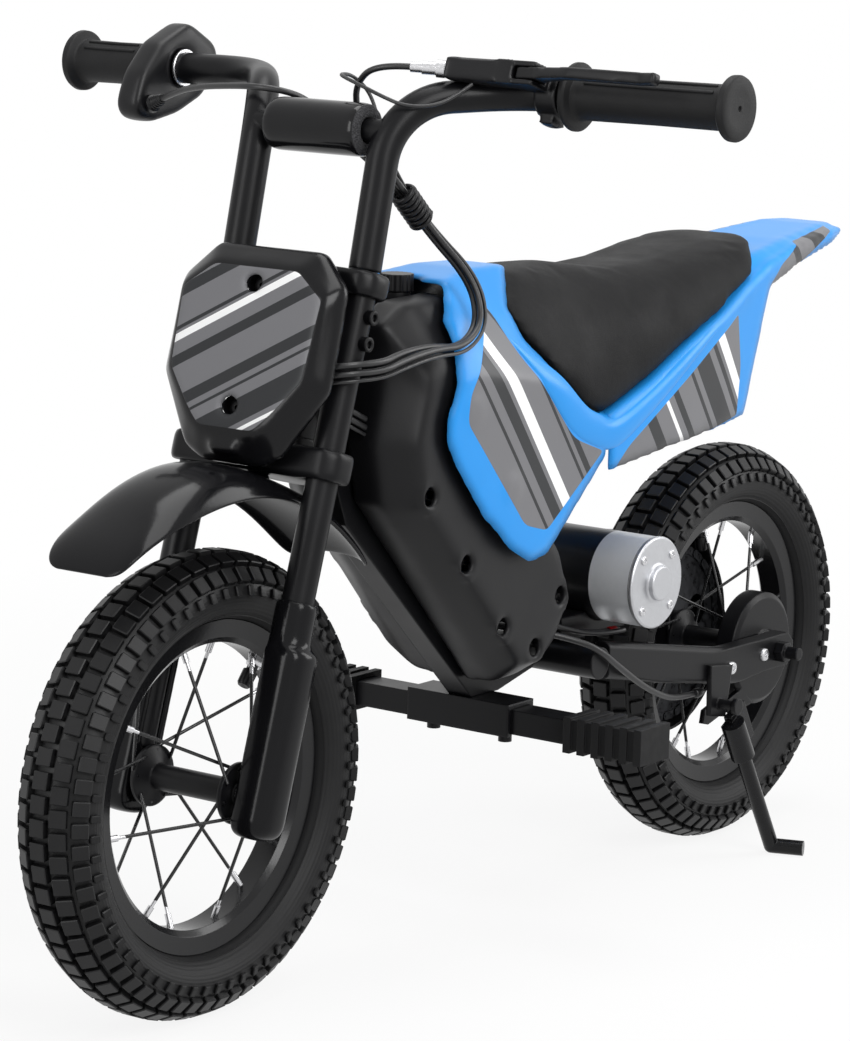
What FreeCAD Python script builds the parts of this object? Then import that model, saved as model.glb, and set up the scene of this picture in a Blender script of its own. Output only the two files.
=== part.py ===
import FreeCAD, Part
import math
import os
import Sketcher
from types import SimpleNamespace
from FreeCAD import Placement, Rotation, Vector

# Kids electric motorbike. +X is forward, +Y the rider's left, +Z up.
# The origin is on the ground, in the mid-plane, half way between the axles.
# Lengths are in millimetres, angles in degrees, counts are plain.
DIMENSIONS = {
    # Wheels
    "wheelbase": 647,
    "tyre_radius": 158.5,
    "tyre_width": 57,
    "tread_depth": 5.5,
    "crown_width": 22,
    "lug_count": 42,
    "lug_gap": 6.5,
    "bead_radius": 109,
    "rim_width": 28,
    "rim_flange": 4,
    "rim_depth": 12,
    "spoke_count": 16,
    "spoke_diameter": 2.4,
    "nipple_diameter": 4.4,
    "nipple_length": 12,
    "cross_angle": 46,
    "hub_radius": 9,
    "flange_radius": 21,
    "flange_thickness": 3,
    "front_flange": 37,
    "rear_flange": 25,
    "axle_diameter": 10,
    "running_gap": 0.05,
    "seat_gap": 0.3,
    # Fork
    "rake": 16.65,
    "fork_spacing": 108,
    "fork_tube_radius": 11,
    "fork_tube_bottom": 18,
    "fork_tube_wall": 2.5,
    "cover_width": 30,
    "cover_depth": 33,
    "cover_offset": 5,
    "cover_top": 100,
    "cover_bottom": 28,
    "collar_top": 133,
    "collar_radius": 14.5,
    "lower_clamp_height": 212,
    "lower_clamp_thickness": 22,
    "upper_clamp_height": 337,
    "upper_clamp_thickness": 18,
    "clamp_ear": 17,
    "stem_offset": 28,
    "stem_radius": 12.5,
    "head_tube_radius": 18.5,
    "cup_height": 7,
    "cup_radius": 20.5,
    # Handlebar and controls
    "bar_radius": 11.1,
    "bar_wall": 2,
    "bar_bend": 68,
    "riser_lean": 8,
    "riser_height": 470,
    "grip_setback": 58,
    "grip_height": 496,
    "bend_width": 112,
    "bar_half_width": 278,
    "crossbar_height": 449,
    "crossbar_radius": 8,
    "pad_radius": 19,
    "pad_half_length": 41,
    "grip_radius": 15,
    "grip_start": 153,
    "grip_flange": 22,
    "grip_end_wall": 3,
    "perch_start": 130,
    "perch_width": 17,
    "perch_radius": 16,
    "lever_reach": 40,
    "lever_rise": 6,
    "lever_tip": 242,
    "lever_thickness": 8,
    "lever_pin_radius": 3,
    "throttle_inner": 184,
    "throttle_width": 22,
    # Frame and drive
    "spine_width": 20,
    "spine_wall": 3,
    "stay_inner": 52,
    "stay_width": 13,
    "cross_tube_radius": 12,
    "cross_tube_x": -66,
    "cross_tube_z": 189,
    "rear_axle_half": 84,
    "nut_radius": 8.5,
    "nut_height": 8,
    "chain_pitch": 8,
    "chain_links": 90,
    "pinion_teeth": 11,
    "sprocket_teeth": 54,
    "chain_plane": 40,
    "roller_radius": 2.3,
    "sprocket_thickness": 4.2,
    "motor_angle": 22.6,
    "motor_radius": 34,
    "motor_left": 66,
    "motor_right": 22,
    "motor_cap_width": 13,
    "motor_boss_radius": 13,
    "motor_shaft_radius": 4,
    "drum_radius": 38,
    "drum_width": 13,
    "brake_cover_radius": 44.5,
    "brake_cover_wall": 2.5,
    "guard_wall": 2,
    "guard_margin": 12,
    # Foot pegs and stand
    "peg_bar_x": 7,
    "peg_bar_z": 156,
    "peg_bar_depth": 24,
    "peg_bar_height": 18,
    "peg_start": 95,
    "peg_end": 161,
    "peg_depth": 38,
    "peg_height": 26,
    "peg_rib_count": 6,
    "stand_pivot_x": -230,
    "stand_pivot_z": 132,
    "stand_pin_radius": 4,
    "stand_rod_radius": 6,
    "stand_foot_x": -304,
    # Battery housing and bodywork
    "shell_inner": 11,
    "shell_step": 34,
    "shell_outer": 60,
    "shell_wall": 3,
    "cap_x": 112,
    "cap_radius": 12,
    "cap_height": 12,
    "fairing_wall": 3,
    "seat_edge": 12,
}

# A cord's arc uses this share of the shorter run beside it.
CORNER_SHARE = 0.45


class Size:
    """A number together with the sheet expression that gives it."""

    def __init__(self, value, text):
        self.value = float(value)
        self.text = text

    def __float__(self):
        return self.value

    def __add__(self, other):
        other = as_size(other)
        return Size(self.value + other.value, f"({self.text} + {other.text})")

    __radd__ = __add__

    def __sub__(self, other):
        other = as_size(other)
        return Size(self.value - other.value, f"({self.text} - {other.text})")

    def __rsub__(self, other):
        return as_size(other) - self

    def __mul__(self, other):
        other = as_size(other)
        return Size(self.value * other.value, f"({self.text} * {other.text})")

    __rmul__ = __mul__

    def __truediv__(self, other):
        other = as_size(other)
        return Size(self.value / other.value, f"({self.text} / {other.text})")

    def __neg__(self):
        return as_size(0) - self


def as_size(item):
    """The item as a Size; a bare number becomes its own expression."""
    if isinstance(item, Size):
        return item
    return Size(item, f"({float(item)!r})")


doc = FreeCAD.newDocument("kids_motorbike")
sheet = doc.addObject("Spreadsheet::Sheet", "Sizes")
for row, (alias, number) in enumerate(DIMENSIONS.items(), 1):
    sheet.set(f"A{row}", alias)
    sheet.set(f"B{row}", str(number))
    sheet.setAlias(f"B{row}", alias)
doc.recompute()
d = SimpleNamespace(**{alias: Size(sheet.get(alias), f"Sizes.{alias}") for alias in DIMENSIONS})
nodes = []

Y_AXIS = Vector(0, 1, 0)
ORIGIN = Vector(0, 0, 0)


def vec(x, y, z):
    """A point from numbers or sizes."""
    return Vector(float(x), float(y), float(z))


front_axle_x = d.wheelbase / 2
rear_axle_x = -front_axle_x
fork_half = d.fork_spacing / 2
axle_radius = d.axle_diameter / 2
bore_radius = axle_radius + d.running_gap
front_place = Placement(vec(front_axle_x, 0, d.tyre_radius), Rotation())
rear_place = Placement(vec(rear_axle_x, 0, d.tyre_radius), Rotation())
fork_place = Placement(front_place.Base, Rotation(Y_AXIS, -float(d.rake)))


def fork_point(x, y, z):
    """A point given in the fork's frame, with z up along the legs, in the bike's frame."""
    return fork_place.multVec(vec(x, y, z))


def bind(item, field, size):
    """Tie a property to the sheet, or set it where the size is a bare number."""
    if isinstance(size, Size):
        item.setExpression(field, size.text)
    else:
        setattr(item, field, size)


def keep(item, label, place=None):
    """Register a finished object as a sub-part under its label."""
    item.Label = label
    if place is not None:
        item.Placement = place
    nodes.append(item)
    return item


def shape_node(label, shape, place=Placement()):
    """A sub-part whose shape is worked out here from the sheet's sizes."""
    item = doc.addObject("Part::Feature", label)
    item.Shape = shape
    return keep(item, label, place.multiply(item.Placement))


def make_body(label, place=Placement()):
    """An empty body at a place."""
    body = doc.addObject("PartDesign::Body", label)
    return keep(body, label, place)


def make_sketch(body, name, start):
    """A sketch parallel to the body's XY plane at a height."""
    sketch = body.newObject("Sketcher::SketchObject", name)
    plane = [item for item in body.Origin.OriginFeatures if item.Role == "XY_Plane"][0]
    sketch.AttachmentSupport = [(plane, "")]
    sketch.MapMode = "FlatFace"
    sketch.setExpression("AttachmentOffset.Base.z", as_size(start).text)
    return sketch


def fix_point(sketch, geometry, end, point):
    """Tie one point of a sketch to the sheet by its two coordinates."""
    for kind, size in zip(("DistanceX", "DistanceY"), point):
        rule = Sketcher.Constraint(kind, -1, 1, geometry, end, float(size))
        index = sketch.addConstraint(rule)
        if isinstance(size, Size):
            sketch.setExpression(f"Constraints[{index}]", size.text)


def draw_polygon(sketch, points):
    """A closed outline of straight edges."""
    first = sketch.GeometryCount
    count = len(points)
    corners = [vec(u, v, 0) for u, v in points]
    for i in range(count):
        sketch.addGeometry(Part.LineSegment(corners[i], corners[(i + 1) % count]), False)
    for i in range(count):
        joined = Sketcher.Constraint("Coincident", first + i, 2, first + (i + 1) % count, 1)
        sketch.addConstraint(joined)
    for i in range(count):
        fix_point(sketch, first + i, 1, points[i])


def draw_circle(sketch, centre, radius):
    """A circle tied to the sheet."""
    index = sketch.GeometryCount
    circle = Part.Circle(vec(centre[0], centre[1], 0), Vector(0, 0, 1), float(radius))
    sketch.addGeometry(circle, False)
    rule = sketch.addConstraint(Sketcher.Constraint("Radius", index, float(radius)))
    sketch.setExpression(f"Constraints[{rule}]", as_size(radius).text)
    fix_point(sketch, index, 3, centre)


def add_pad(body, start, length, polygon=None, circles=()):
    """Material from one height over a length."""
    sketch = make_sketch(body, "pad_sketch", start)
    if polygon:
        draw_polygon(sketch, polygon)
    for centre, radius in circles:
        draw_circle(sketch, centre, radius)
    pad = body.newObject("PartDesign::Pad", "pad")
    pad.Profile = sketch
    bind(pad, "Length", as_size(length))
    return pad


def add_pocket(body, start, length, polygon=None, circles=()):
    """A cut from one height over a length, upwards."""
    sketch = make_sketch(body, "pocket_sketch", start)
    if polygon:
        draw_polygon(sketch, polygon)
    for centre, radius in circles:
        draw_circle(sketch, centre, radius)
    pocket = body.newObject("PartDesign::Pocket", "pocket")
    pocket.Profile = sketch
    pocket.Reversed = True
    bind(pocket, "Length", as_size(length))
    return pocket


def round_edges(body, pick, radius):
    """Round the edges of the body so far that the test picks."""
    doc.recompute()
    base = body.Tip
    names = [f"Edge{i}" for i, edge in enumerate(base.Shape.Edges, 1) if pick(edge)]
    fillet = body.newObject("PartDesign::Fillet", "fillet")
    fillet.Base = (base, names)
    bind(fillet, "Radius", as_size(radius))
    return fillet


def along(edge, direction):
    """Whether an edge is straight and parallel to a direction."""
    if edge.Curve.TypeId != "Part::GeomLine":
        return False
    return abs(abs(edge.Curve.Direction.dot(direction)) - 1) < 1e-6


def turned(label, profile, place=Placement()):
    """A body turned about Y from a profile of radius and Y."""
    body = make_body(label, place)
    sketch = make_sketch(body, "profile", 0)
    draw_polygon(sketch, profile)
    turn = body.newObject("PartDesign::Revolution", "turn")
    turn.Profile = sketch
    turn.ReferenceAxis = (sketch, ["V_Axis"])
    turn.Angle = 360
    return body


def side_plate(label, outline, y_low, y_high, holes=()):
    """A body padded across Y from an outline of X and Z."""
    place = Placement(vec(0, y_high, 0), Rotation(Vector(1, 0, 0), 90))
    body = make_body(label, place)
    add_pad(body, 0, as_size(y_high) - y_low, outline)
    for centre, radius in holes:
        add_pocket(body, 0, as_size(y_high) - y_low, None, [(centre, radius)])
    return body


def cylinder(start, end, radius):
    """A round bar between two points."""
    run = end - start
    return Part.makeCylinder(float(radius), run.Length, start, run)


def bored(start, end, radius, bore):
    """A round sleeve between two points."""
    return cylinder(start, end, radius).cut(cylinder(start, end, bore))


def block(x_low, x_high, y_low, y_high, z_low, z_high):
    """A box between limits."""
    low = vec(x_low, y_low, z_low)
    high = vec(x_high, y_high, z_high)
    return Part.makeBox(high.x - low.x, high.y - low.y, high.z - low.z, low)


def join(shapes):
    """One solid from overlapping ones."""
    return shapes[0].multiFuse(shapes[1:]).removeSplitter()


def polygon_wire(points):
    """A closed wire through points."""
    return Part.makePolygon(list(points) + [points[0]])


def rounded_wire(points, bend=None):
    """Straight runs joined by tangent arcs, and the radii of the arcs."""
    edges = []
    radii = []
    start = points[0]
    for before, corner, after in zip(points, points[1:], points[2:]):
        back = before - corner
        ahead = after - corner
        half_turn = (math.pi - back.getAngle(ahead)) / 2
        reach = CORNER_SHARE * min(back.Length, ahead.Length)
        if bend is not None:
            reach = min(reach, float(bend) * math.tan(half_turn))
        radius = reach / math.tan(half_turn)
        back.normalize()
        ahead.normalize()
        inward = back + ahead
        inward.normalize()
        first = corner + back * reach
        last = corner + ahead * reach
        middle = corner + inward * (math.hypot(radius, reach) - radius)
        edges.append(Part.LineSegment(start, first).toShape())
        edges.append(Part.Arc(first, middle, last).toShape())
        radii.append(radius)
        start = last
    edges.append(Part.LineSegment(start, points[-1]).toShape())
    return Part.Wire(edges), radii


def sweep_circle(wire, radius):
    """A solid tube of a radius along a wire."""
    first = wire.OrderedEdges[0]
    start = first.valueAt(first.FirstParameter)
    tangent = first.tangentAt(first.FirstParameter)
    ring = Part.Wire(Part.makeCircle(float(radius), start, tangent))
    return wire.makePipeShell([ring], True, False)


def cable(name, points, radius):
    """A cable along a hand-laid route; prints its arc radii and checks its volume."""
    wire, radii = rounded_wire(points)
    tube = sweep_circle(wire, radius)
    ideal = math.pi * radius ** 2 * wire.Length
    print(name, "radii", [round(r) for r in radii], "volume ratio", round(tube.Volume / ideal, 4))
    return tube


# Wheels, made around their own centre with the axle along Y.
half_tyre = d.tyre_width / 2
half_crown = d.crown_width / 2
half_rim = d.rim_width / 2
rim_edge = d.bead_radius + d.rim_flange
rim_inner = d.bead_radius - d.rim_depth
flange_wall = 1.6
bead_y = half_rim - flange_wall - d.seat_gap


def tyre_shape():
    """A hollow tyre with square knobs left standing between slots."""
    top = float(d.tyre_radius)
    depth = float(d.tread_depth)
    width = float(half_tyre)
    crown = float(half_crown)
    bead = float(d.bead_radius)
    lip = float(bead_y)
    groove = crown + 3.2
    side_top = top - 2.4 * depth

    def mirrored(points):
        return [Vector(p.x, -p.y, 0) for p in reversed(points)]

    outer = [
        Vector(top, crown, 0),
        Vector(top - depth, crown + 0.8, 0),
        Vector(top - depth, groove, 0),
        Vector(top - 1.2, groove + 0.8, 0),
        Vector(top - 0.8 * depth, width - 3.5, 0),
        Vector(side_top, width, 0),
        Vector(side_top - 2, width - 2, 0),
    ]
    wall_end = Vector(float(rim_edge) + 3, lip + 1.5, 0)
    wall_middle = Vector((side_top + wall_end.x) / 2 - 2, width - 0.4, 0)
    bead_points = [
        Vector(float(rim_edge) + 1, lip, 0),
        Vector(bead, lip, 0),
        Vector(bead, lip - 3.6, 0),
        Vector(float(rim_edge) + 2, lip - 3.6, 0),
    ]
    hollow_top = Vector(top - depth - 5.5, crown, 0)
    hollow_middle = Vector((hollow_top.x + wall_end.x) / 2 - 1, width - 5.5, 0)

    edges = []

    def run(points):
        for a, b in zip(points, points[1:]):
            edges.append(Part.LineSegment(a, b).toShape())

    low_outer = mirrored(outer)
    flip = [Vector(p.x, -p.y, 0) for p in (wall_end, wall_middle, hollow_top, hollow_middle)]
    low_end, low_middle, low_hollow, low_hollow_middle = flip
    low_bead = mirrored(bead_points)
    run(outer)
    edges.append(Part.Arc(outer[-1], wall_middle, wall_end).toShape())
    run([wall_end] + bead_points)
    edges.append(Part.Arc(bead_points[-1], hollow_middle, hollow_top).toShape())
    run([hollow_top, low_hollow])
    edges.append(Part.Arc(low_hollow, low_hollow_middle, low_bead[0]).toShape())
    run(low_bead + [low_end])
    edges.append(Part.Arc(low_end, low_middle, low_outer[0]).toShape())
    run(low_outer + [outer[0]])
    ring = Part.Face(Part.Wire(edges)).revolve(ORIGIN, Y_AXIS, 360)

    gap = float(d.lug_gap)
    reach = 2 * width
    rise = 3 * depth
    slope = math.degrees(math.atan2(1.6 * depth, width - groove))
    middle_slot = Part.makeBox(gap, 2 * crown + 2, rise, Vector(-gap / 2, -crown - 1, top - depth))
    hinge = Vector(0, groove - 0.4, top - depth)
    left_slot = Part.makeBox(gap, reach, rise, hinge - Vector(gap / 2, 0, 0))
    left_slot.rotate(hinge, Vector(1, 0, 0), -slope)
    right_slot = left_slot.mirror(ORIGIN, Y_AXIS)
    slots = []
    step = 360 / float(d.lug_count)
    for i in range(round(float(d.lug_count))):
        for slot, phase in ((middle_slot, 0), (left_slot, 0.5), (right_slot, 0.5)):
            turned_slot = slot.copy()
            turned_slot.rotate(ORIGIN, Y_AXIS, step * (i + phase))
            slots.append(turned_slot)
    return ring.cut(slots)


def spoke_set(flange):
    """Crossing spokes with their nipples, alternating between the two flanges."""
    count = round(float(d.spoke_count))
    radius = float(d.spoke_diameter) / 2
    circle = float(d.flange_radius) - 3.5
    seat = float(flange)
    stand_off = float(d.flange_thickness) / 2 + radius
    spokes = []
    for i in range(count):
        side = 1 if i % 2 == 0 else -1
        lead = 1 if (i // 2) % 2 == 0 else -1
        rim_angle = 2 * math.pi * (i + 0.5) / count
        hub_angle = rim_angle + lead * math.radians(float(d.cross_angle))
        hub_y = side * (seat + lead * stand_off)
        head = Vector(circle * math.sin(hub_angle), hub_y, circle * math.cos(hub_angle))
        rim_radius = float(rim_inner) + 2.5
        tip = Vector(rim_radius * math.sin(rim_angle), side * 2, rim_radius * math.cos(rim_angle))
        run = tip - head
        run.normalize()
        elbow_end = Vector(head.x, side * (seat - lead * stand_off), head.z)
        nipple_start = tip - run * float(d.nipple_length)
        pieces = [
            cylinder(head, tip, radius),
            cylinder(head, elbow_end, radius),
            cylinder(nipple_start, tip, d.nipple_diameter / 2),
        ]
        spokes.append(join(pieces))
    return Part.Compound(spokes)


def rim_profile():
    """A drop-centre rim section of radius and Y."""
    well = d.bead_radius - 5.5
    half = [
        (rim_edge, half_rim),
        (rim_edge, half_rim - flange_wall),
        (d.bead_radius - d.seat_gap, half_rim - flange_wall),
        (d.bead_radius - d.seat_gap, half_rim - 5),
        (well, half_rim - 8),
    ]
    back = [(rim_inner, half_rim - 5), (rim_inner + 4, half_rim - 1.6)]
    low = [(r, -y) for r, y in reversed(half)]
    return half + low + [(r, -y) for r, y in reversed(back)] + back


def hub_profile(flange, left_end, right_end, left_step, right_step):
    """A flanged hub section with a boss at each end."""
    half_flange = d.flange_thickness / 2
    return [
        (bore_radius, left_end),
        (left_step, left_end),
        (left_step, flange + half_flange),
        (d.flange_radius, flange + half_flange),
        (d.flange_radius, flange - half_flange),
        (d.hub_radius, flange - half_flange - 4),
        (d.hub_radius, -flange + half_flange + 4),
        (d.flange_radius, -flange + half_flange),
        (d.flange_radius, -flange - half_flange),
        (right_step, -flange - half_flange),
        (right_step, right_end),
        (bore_radius, right_end),
    ]


knobbly_tyre = tyre_shape()
shape_node("front_tyre", knobbly_tyre, front_place)
shape_node("rear_tyre", knobbly_tyre, rear_place)
turned("front_rim", rim_profile(), front_place)
turned("rear_rim", rim_profile(), rear_place)
shape_node("front_spokes", spoke_set(d.front_flange), front_place)
shape_node("rear_spokes", spoke_set(d.rear_flange), rear_place)
hub_end = d.front_flange + d.flange_thickness / 2 + 1.5
front_hub_outline = hub_profile(d.front_flange, hub_end, -hub_end, as_size(8.5), as_size(8.5))
turned("front_hub", front_hub_outline, front_place)
drum_start = d.rear_flange + d.flange_thickness / 2 + 5
drum_end = drum_start + d.drum_width
carrier_radius = 19
sprocket_outer_y = -(d.chain_plane + d.sprocket_thickness / 2)
rear_hub_outline = hub_profile(
    d.rear_flange, drum_end, sprocket_outer_y, as_size(15), as_size(carrier_radius)
)
turned("rear_hub", rear_hub_outline, rear_place)

# Fork, made in its own frame: z runs up the legs, the origin is on the front axle.
leg_top = d.upper_clamp_height + d.upper_clamp_thickness
lower_clamp_top = d.lower_clamp_height + d.lower_clamp_thickness
legs = []
for side in (1, -1):
    leg_start = vec(0, side * fork_half, d.fork_tube_bottom)
    leg_bore_top = vec(0, side * fork_half, leg_top - 10)
    leg = cylinder(leg_start, vec(0, side * fork_half, leg_top), d.fork_tube_radius)
    legs.append(leg.cut(cylinder(leg_start, leg_bore_top, d.fork_tube_radius - d.fork_tube_wall)))
shape_node("fork_tubes", Part.Compound(legs), fork_place)

leg_bore = d.fork_tube_radius + d.running_gap


def clamp_body(label, height, thickness, stem_bore):
    """A triple clamp: an ear round each leg and a lobe round the stem."""
    body = make_body(label, fork_place)
    ear = d.clamp_ear
    lobe = d.stem_radius + 9
    outline = [
        (ear, -fork_half - ear * 0.5),
        (ear, fork_half + ear * 0.5),
        (ear * 0.5, fork_half + ear),
        (-ear * 0.5, fork_half + ear),
        (-ear, fork_half + ear * 0.5),
        (-ear, fork_half - ear),
        (-d.stem_offset - lobe * 0.6, lobe),
        (-d.stem_offset - lobe, lobe * 0.4),
        (-d.stem_offset - lobe, -lobe * 0.4),
        (-d.stem_offset - lobe * 0.6, -lobe),
        (-ear, -fork_half + ear),
        (-ear, -fork_half - ear * 0.5),
        (-ear * 0.5, -fork_half - ear),
        (ear * 0.5, -fork_half - ear),
    ]
    add_pad(body, height, thickness, outline)
    round_edges(body, lambda edge: along(edge, Vector(0, 0, 1)), 5)
    for side in (1, -1):
        add_pocket(body, height, thickness, None, [((0, side * fork_half), leg_bore)])
    if stem_bore is not None:
        add_pocket(body, height, thickness, None, [((-d.stem_offset, 0), stem_bore)])
    return body


clamp_body("upper_clamp", d.upper_clamp_height, d.upper_clamp_thickness, d.stem_radius + d.running_gap)
lower_clamp = clamp_body("lower_clamp", d.lower_clamp_height, d.lower_clamp_thickness, None)
stem_length = leg_top - lower_clamp_top
add_pad(lower_clamp, lower_clamp_top, stem_length, None, [((-d.stem_offset, 0), d.stem_radius)])

cup_low = lower_clamp_top + d.seat_gap
cup_high = d.upper_clamp_height - d.seat_gap
stem_axis = -float(d.stem_offset)
cups = []
for bottom, top in ((cup_low, cup_low + d.cup_height), (cup_high - d.cup_height, cup_high)):
    low = vec(stem_axis, 0, bottom)
    high = vec(stem_axis, 0, top)
    cups.append(bored(low, high, d.cup_radius, d.stem_radius + d.running_gap))
shape_node("headset_cups", Part.Compound(cups), fork_place)

cover_centre = fork_half + d.cover_offset


def fork_cover(label, side):
    """A moulded lower-leg cover with a collar round the tube and a rounded foot."""
    body = make_body(label, fork_place)
    half_depth = d.cover_depth / 2
    inner = cover_centre - d.cover_width / 2
    outer = cover_centre + d.cover_width / 2
    outline = [
        (half_depth, side * inner),
        (half_depth, side * outer),
        (-half_depth, side * outer),
        (-half_depth, side * inner),
    ]
    length = d.cover_top + d.cover_bottom
    add_pad(body, -d.cover_bottom, length, outline)
    foot_z = -float(d.cover_bottom)
    outer_face = float(outer)
    upright = Vector(0, 0, 1)
    round_edges(body, lambda edge: along(edge, upright) and abs(edge.CenterOfMass.y) > outer_face - 1, 12)
    round_edges(body, lambda edge: along(edge, Y_AXIS) and edge.CenterOfMass.z < foot_z + 1, 11)
    collar = [((0, side * fork_half), d.collar_radius)]
    add_pad(body, d.cover_top - 5, d.collar_top - d.cover_top + 5, None, collar)
    bore_length = d.collar_top - d.fork_tube_bottom
    add_pocket(body, d.fork_tube_bottom, bore_length, None, [((0, side * fork_half), leg_bore)])
    return body


fork_cover("fork_cover_left", 1)
fork_cover("fork_cover_right", -1)

# The front axle is held in blind seats of the covers, with a cone against each hub end.
cone_end = cover_centre - d.cover_width / 2
axle_half = float(cone_end)
axle_pieces = [cylinder(Vector(0, -axle_half, 0), Vector(0, axle_half, 0), axle_radius)]
for side in (1, -1):
    inner_face = vec(0, side * (hub_end + d.seat_gap), 0)
    axle_pieces.append(cylinder(inner_face, vec(0, side * cone_end, 0), 8))
shape_node("front_axle", join(axle_pieces), front_place)

bolt_heads = []
for side in (1, -1):
    for height in (d.upper_clamp_height - 12, d.upper_clamp_height - 30):
        seat = vec(0, side * (fork_half + d.fork_tube_radius - 3), height)
        head_base = vec(0, side * (fork_half + d.fork_tube_radius - 1), height)
        head_top = vec(0, side * (fork_half + d.fork_tube_radius + 5), height)
        socket_floor = vec(0, side * (fork_half + d.fork_tube_radius + 2), height)
        head = cylinder(head_base, head_top, 5).cut(cylinder(socket_floor, head_top, 2.6))
        bolt_heads.append(head.fuse(cylinder(seat, head_base, 3)))
shape_node("clamp_bolts", Part.Compound(bolt_heads), fork_place)


def fender_shape():
    """A pointed front mudguard lofted round the wheel centre, open below."""
    # Angle from straight ahead, ridge radius, edge radius and half width.
    stations = [
        (47, 226, 214, 20),
        (53, 230, 208, 39),
        (66, 229, 201, 41),
        (84, 226, 197, 41),
        (100, 207, 190, 40),
        (118, 206, 188, 40),
        (136, 203, 190, 38),
    ]
    wall = 3
    wires = []
    for angle, ridge, edge, half in stations:
        out = Vector(math.cos(math.radians(angle)), 0, math.sin(math.radians(angle)))
        middle = (ridge * 2 + edge) / 3
        outside = [(edge, -half), (middle, -half * 0.8), (ridge, -half * 0.28)]
        outside = outside + [(r, -y) for r, y in reversed(outside)]
        inside = [(r - wall, y * (half - wall) / half) for r, y in reversed(outside)]
        inside[0] = (edge - 0.5, half - wall)
        inside[-1] = (edge - 0.5, wall - half)
        upper = Part.BSplineCurve()
        upper.interpolate([out * r + Vector(0, y, 0) for r, y in outside])
        under = Part.BSplineCurve()
        under.interpolate([out * r + Vector(0, y, 0) for r, y in inside])
        near = Part.LineSegment(upper.EndPoint, under.StartPoint)
        far = Part.LineSegment(under.EndPoint, upper.StartPoint)
        wires.append(Part.Wire([curve.toShape() for curve in (upper, near, under, far)]))
    return Part.makeLoft(wires, True, False)


fender = fender_shape()
rake_angle = math.radians(90 + float(d.rake))
leg_way = Vector(math.cos(rake_angle), 0, math.sin(rake_angle))
boss = cylinder(leg_way * 201, leg_way * float(d.lower_clamp_height), 9)
shape_node("front_fender", join([fender, boss]), front_place)


def number_plate_shape():
    """A domed eight-sided front plate on two posts, open at the back."""
    face_x = 46
    depth = 20.5
    wall = 3
    centre = 291
    rear_half = [(44, 69), (67, 46), (69, -22), (40, -70), (24, -78)]
    face_half = [(36, 54), (60, 36), (57, -20), (33, -50), (23, -58)]
    rear = rear_half + [(-y, z) for y, z in reversed(rear_half)]
    face = face_half + [(-y, z) for y, z in reversed(face_half)]

    def dome(front_x, back_x, inset):
        def ring(points, x):
            return polygon_wire([
                Vector(x, y - math.copysign(inset, y), centre + z - math.copysign(inset, z))
                for y, z in points
            ])
        return Part.makeLoft([ring(rear, back_x), ring(rear, back_x + 9), ring(face, front_x)], True, True)

    back_x = face_x - depth
    shell = dome(face_x, back_x, 0).cut(dome(face_x - wall, back_x - 0.01, wall))
    front_of_clamp = float(d.clamp_ear)
    posts = []
    for height, half in ((d.upper_clamp_height + 6, 12), (d.lower_clamp_height + 10, 12)):
        posts.append(block(front_of_clamp, face_x - 1, -half, half, height - 4, height + 4))
    holes = []
    for rise in (42, -41):
        height = centre + rise
        holes.append(cylinder(Vector(face_x - 8, 0, height), Vector(face_x + 4, 0, height), 6))
    return join([shell] + posts).cut(holes)


shape_node("number_plate", number_plate_shape(), fork_place)

# Handlebar: two bent tubes on the fork legs, joined by a crossbar.
bar_bore = d.bar_radius - d.bar_wall
bar_foot_gap = 1.1


def bar_route(side):
    """The centre line of one bar from its foot to its end."""
    return [
        vec(0, side * fork_half, leg_top + bar_foot_gap),
        vec(d.riser_lean, side * fork_half, d.riser_height),
        vec(-d.grip_setback, side * d.bend_width, d.grip_height),
        vec(-d.grip_setback, side * d.bar_half_width, d.grip_height),
    ]


bars = []
bores = []
for side in (1, -1):
    bar_wire = rounded_wire(bar_route(side), d.bar_bend)[0]
    bars.append(sweep_circle(bar_wire, d.bar_radius))
    bores.append(sweep_circle(bar_wire, bar_bore))
riser_share = (d.crossbar_height - leg_top) / (d.riser_height - leg_top)
crossbar_x = d.riser_lean * riser_share
crossbar = cylinder(
    vec(crossbar_x, -fork_half, d.crossbar_height),
    vec(crossbar_x, fork_half, d.crossbar_height),
    d.crossbar_radius,
)
shape_node("handlebar", join(bars + [crossbar]).cut(bores), fork_place)

pad_place = fork_place.multiply(Placement(vec(crossbar_x, 0, d.crossbar_height), Rotation()))
pad_bore = d.crossbar_radius + d.running_gap
pad_round = 3
pad_profile = [
    (pad_bore, -d.pad_half_length),
    (d.pad_radius - pad_round, -d.pad_half_length),
    (d.pad_radius, -d.pad_half_length + pad_round),
    (d.pad_radius, d.pad_half_length - pad_round),
    (d.pad_radius - pad_round, d.pad_half_length),
    (pad_bore, d.pad_half_length),
]
turned("crossbar_pad", pad_profile, pad_place)

grip_place = fork_place.multiply(Placement(vec(-d.grip_setback, 0, d.grip_height), Rotation()))
grip_bore = d.bar_radius + d.running_gap
grip_close = d.bar_half_width + d.seat_gap
grip_end = grip_close + d.grip_end_wall


def grip_profile(start, inner_flange, side):
    """A closed rubber grip with an end flange and ring grooves."""
    outline = [
        (0, grip_end),
        (d.grip_flange, grip_end),
        (d.grip_flange, grip_end - 6),
        (d.grip_radius + 1, grip_end - 9),
    ]
    span = grip_end - 9 - start - 8
    ring_count = 5
    for i in range(ring_count):
        ring = grip_end - 9 - span * (i + 1) / (ring_count + 1)
        outline.append((d.grip_radius, ring + 1.5))
        outline.append((d.grip_radius - 1, ring))
        outline.append((d.grip_radius, ring - 1.5))
    outline += [
        (d.grip_radius, start + 6),
        (inner_flange, start + 4),
        (inner_flange, start),
        (grip_bore, start),
        (grip_bore, grip_close),
        (0, grip_close),
    ]
    return [(radius, side * y) for radius, y in outline]


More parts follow.
